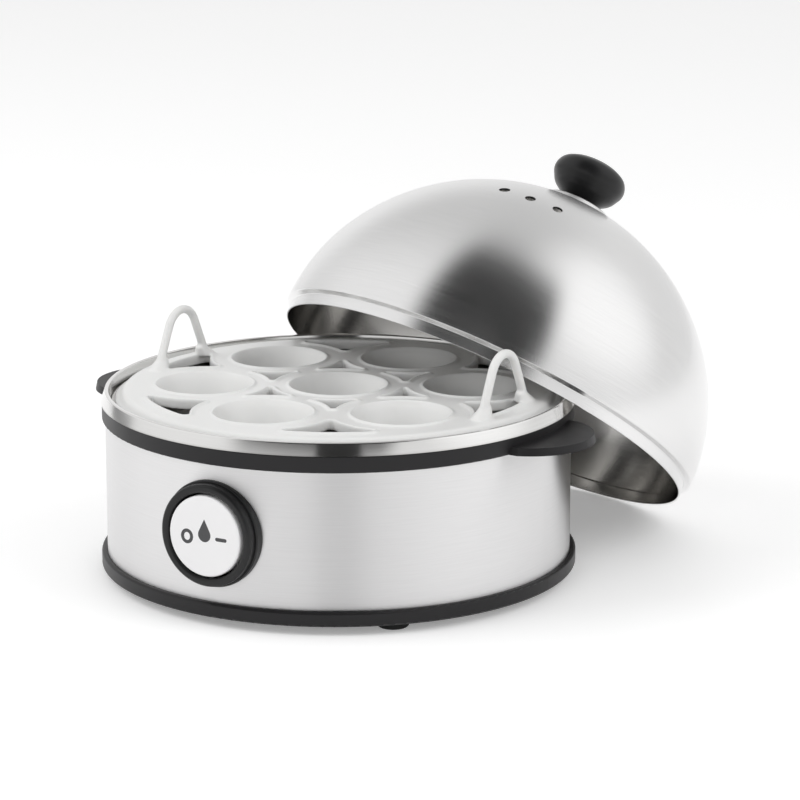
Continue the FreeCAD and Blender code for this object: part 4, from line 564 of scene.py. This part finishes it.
def outline_prism(name, outline, holes, front, depth):
    """Flat piece from closed outlines of (x, z) points, standing from its front back into the disc."""
    curve = bpy.data.curves.new(name + "_outline", "CURVE")
    curve.dimensions = "2D"
    curve.fill_mode = "BOTH"
    curve.extrude = depth / 2
    for points in [outline, *holes]:
        spline = curve.splines.new("POLY")
        spline.points.add(len(points) - 1)
        for point, (x, z) in zip(spline.points, points):
            point.co = (x, z, 0, 1)
        spline.use_cyclic_u = True
    form = bpy.data.objects.new(name + "_form", curve)
    data = bpy.data.meshes.new_from_object(form)
    data.name = name
    upright = Matrix.Rotation(math.radians(90), 4, "X")
    data.transform(Matrix.Translation((0, front + depth / 2, 0)) @ upright)
    bpy.data.objects.remove(form)
    bpy.data.curves.remove(curve)
    item = bpy.data.objects.new(name, data)
    scene.collection.objects.link(item)
    return item


edge = 0.7 * MM
back_edge = 0.2 * MM
edge_steps = 8
disc_radius = 13.6 * MM
disc_back = DISC_FRONT + 6.38 * MM
flat_radius = disc_radius - edge
disc_profile = [(flat_radius * step / edge_steps, DISC_FRONT) for step in range(edge_steps + 1)]
for step in range(1, edge_steps + 1):
    turn = math.radians(90 * step / edge_steps)
    disc_profile.append((flat_radius + edge * math.sin(turn), DISC_FRONT + edge * (1 - math.cos(turn))))
disc_profile += [(disc_radius, disc_back - back_edge), (disc_radius - back_edge, disc_back), (0, disc_back)]
control_axis = Matrix(((1, 0, 0, 0), (0, 0, 1, 0), (0, 1, 0, CONTROL_HEIGHT), (0, 0, 0, 1)))
disc = lathe("control_disc", disc_profile, control_axis, 160)
sharp_by_angle(disc, 40)
disc.data.materials.append(materials["control_white"])
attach(disc, "rocker")
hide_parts("rocker_disc")


def ellipse(x, z, half_width, half_height, count=64):
    turns = [2 * math.pi * k / count for k in range(count)]
    return [(x + half_width * math.cos(turn), z + half_height * math.sin(turn)) for turn in turns]


def rounded_bar(x, z, half_length, half_width, count=12):
    points = []
    for end, start in ((1, -90), (-1, 90)):
        for k in range(count + 1):
            turn = math.radians(start + 180 * k / count)
            points.append((x + end * (half_length - half_width) + half_width * math.cos(turn),
                           z + half_width * math.sin(turn)))
    return points


ring_x, ring_z = -6.7 * MM, 30.6 * MM
ring_symbol = outline_prism("off_symbol", ellipse(ring_x, ring_z, 2.35 * MM, 2.5 * MM),
                            [ellipse(ring_x, ring_z, 1.15 * MM, 1.35 * MM)], SYMBOL_FRONT, 0.3 * MM)
dash_symbol = outline_prism("on_symbol", rounded_bar(6.4 * MM, 31.0 * MM, 2.2 * MM, 0.62 * MM), [],
                            SYMBOL_FRONT, 0.3 * MM)
for symbol in (ring_symbol, dash_symbol):
    symbol.data.materials.append(materials["symbol_grey"])
    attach(symbol, "rocker")

# Floor: white, and it keeps the object's soft shadow
bpy.ops.mesh.primitive_plane_add(size=8.0, location=(0, 0, 0))
floor = bpy.context.object
floor.name = "floor"
floor_material, tree, shader = new_material("floor_white")
shader.inputs["Base Color"].default_value = (0.92, 0.92, 0.92, 1)
shader.inputs["Roughness"].default_value = 0.7
shader.inputs["Specular IOR Level"].default_value = 0.2
seen_path = add(tree, "ShaderNodeLightPath")
seen = calc(tree, "MAXIMUM", seen_path.outputs["Is Camera Ray"],
            calc(tree, "MAXIMUM", seen_path.outputs["Is Glossy Ray"],
                 seen_path.outputs["Is Transmission Ray"]))
shader.inputs["Emission Color"].default_value = (1, 1, 1, 1)
link(tree, calc(tree, "MULTIPLY", seen, 0.26), shader.inputs["Emission Strength"])
floor.data.materials.append(floor_material)

# World: plain white for the camera. What shines shows a white studio with a brighter box on the right,
# a grey back, a soft dark gap above and in front between two large soft boxes, and two upright columns
world = bpy.data.worlds.new("studio")
scene.world = world
world.use_nodes = True
tree = world.node_tree
background = tree.nodes["Background"]
path = add(tree, "ShaderNodeLightPath")
mirror_ray = calc(tree, "MAXIMUM", path.outputs["Is Glossy Ray"], path.outputs["Is Transmission Ray"])
direction = add(tree, "ShaderNodeTexCoord").outputs["Generated"]
height = add(tree, "ShaderNodeSeparateXYZ")
link(tree, direction, height.inputs[0])


def toward(azimuth, elevation):
    azimuth, elevation = math.radians(azimuth), math.radians(elevation)
    return (math.cos(azimuth) * math.cos(elevation), math.sin(azimuth) * math.cos(elevation),
            math.sin(elevation))


def side_of(plane, start, finish):
    distance = vector_calc(tree, "DOT_PRODUCT", direction, plane).outputs["Value"]
    return soft_step(tree, distance, start, finish)


def patch(azimuth, elevation, outer, inner):
    """1 within the inner half angle round a direction, fading to 0 at the outer one."""
    return side_of(toward(azimuth, elevation), math.cos(math.radians(outer)),
                   math.cos(math.radians(inner)))


def upright_column(azimuth, left_edge, right_edge, fade):
    """1 in a band of directions round an azimuth, with soft sides, fading out upward."""
    front = side_of(toward(azimuth, 0), 0.0, 0.1)
    sides = calc(tree, "MULTIPLY", side_of(toward(azimuth + 90, 0), *left_edge),
                 calc(tree, "MULTIPLY", side_of(toward(azimuth - 90, 0), *right_edge), front))
    return calc(tree, "MULTIPLY", sides, soft_step(tree, height.outputs["Z"], *fade))


# The gap is bounded by three planes through the object
gap = calc(tree, "MULTIPLY", side_of((0.663, 0.558, -0.5), 0.11, -0.07),
           calc(tree, "MULTIPLY", side_of((0.962, -0.254, 0.099), -0.20, 0.05),
                side_of((0, -0.994, 0.113), -0.24, 0.12)))
gap = calc(tree, "MULTIPLY", gap, soft_step(tree, height.outputs["Z"], 0.24, 0.52))
column = upright_column(-59, (0.25, 0.15), (0.22, 0.16), (0.75, 0.45))
left_column = upright_column(173, (0.30, 0.12), (0.30, 0.12), (0.20, 0.02))
dark_part = calc(tree, "MAXIMUM", gap, column)

# Azimuth, elevation, outer and inner half angle, and change of level of each broad soft patch
PATCHES = [
    (24, 40, 40, 14, 0.34),
    (-150, 45, 50, 15, 0.12),
    (125, 8, 32, 10, 0.10),
    (125, 57, 46, 12, -0.17),
]
level = 0.84
for azimuth, elevation, outer, inner, change in PATCHES:
    inside_patch = patch(azimuth, elevation, outer, inner)
    level = calc(tree, "ADD", level, calc(tree, "MULTIPLY", inside_patch, change))
level = calc(tree, "SUBTRACT", level, calc(tree, "MULTIPLY", left_column, 0.55))
kept_share = calc(tree, "SUBTRACT", 1.0, calc(tree, "MULTIPLY", dark_part, 0.965))
level = calc(tree, "MULTIPLY", level, kept_share)
plain = calc(tree, "ADD", calc(tree, "MULTIPLY", path.outputs["Is Camera Ray"], 0.4), 0.6)
chosen = add(tree, "ShaderNodeMix", data_type="FLOAT")
link(tree, mirror_ray, chosen.inputs[0])
link(tree, plain, chosen.inputs[2])
link(tree, level, chosen.inputs[3])
link(tree, chosen.outputs[0], background.inputs["Strength"])
background.inputs["Color"].default_value = (1, 1, 1, 1)


def lamp(name, place, target, width, height, power):
    data = bpy.data.lights.new(name, "AREA")
    data.shape = "RECTANGLE"
    data.size = width
    data.size_y = height
    data.energy = power
    lamp_object = bpy.data.objects.new(name, data)
    lamp_object.location = place
    lamp_object.rotation_euler = (Vector(target) - Vector(place)).to_track_quat("-Z", "Y").to_euler()
    lamp_object.visible_glossy = False
    scene.collection.objects.link(lamp_object)
    return lamp_object


lamp("left_box", (-1.0, -0.7, 1.1), (0, 0, 0.05), 1.1, 1.1, 8.5)
lamp("front_box", (0.5, -1.5, 0.45), (0, 0, 0.04), 0.9, 0.5, 3.0)
lamp("right_box", (1.2, 0.1, 1.0), (0, 0, 0.05), 1.0, 1.0, 5.5)

# Camera fitted to the photograph
camera_data = bpy.data.cameras.new("camera")
camera = bpy.data.objects.new("camera", camera_data)
scene.collection.objects.link(camera)
camera.location = (0.5962, -0.9903, 0.3446)
camera.rotation_euler = (math.radians(76.114), 0, math.radians(30))
camera_data.sensor_width = 36
camera_data.lens = 155.87
scene.camera = camera

scene.view_settings.view_transform = "Standard"
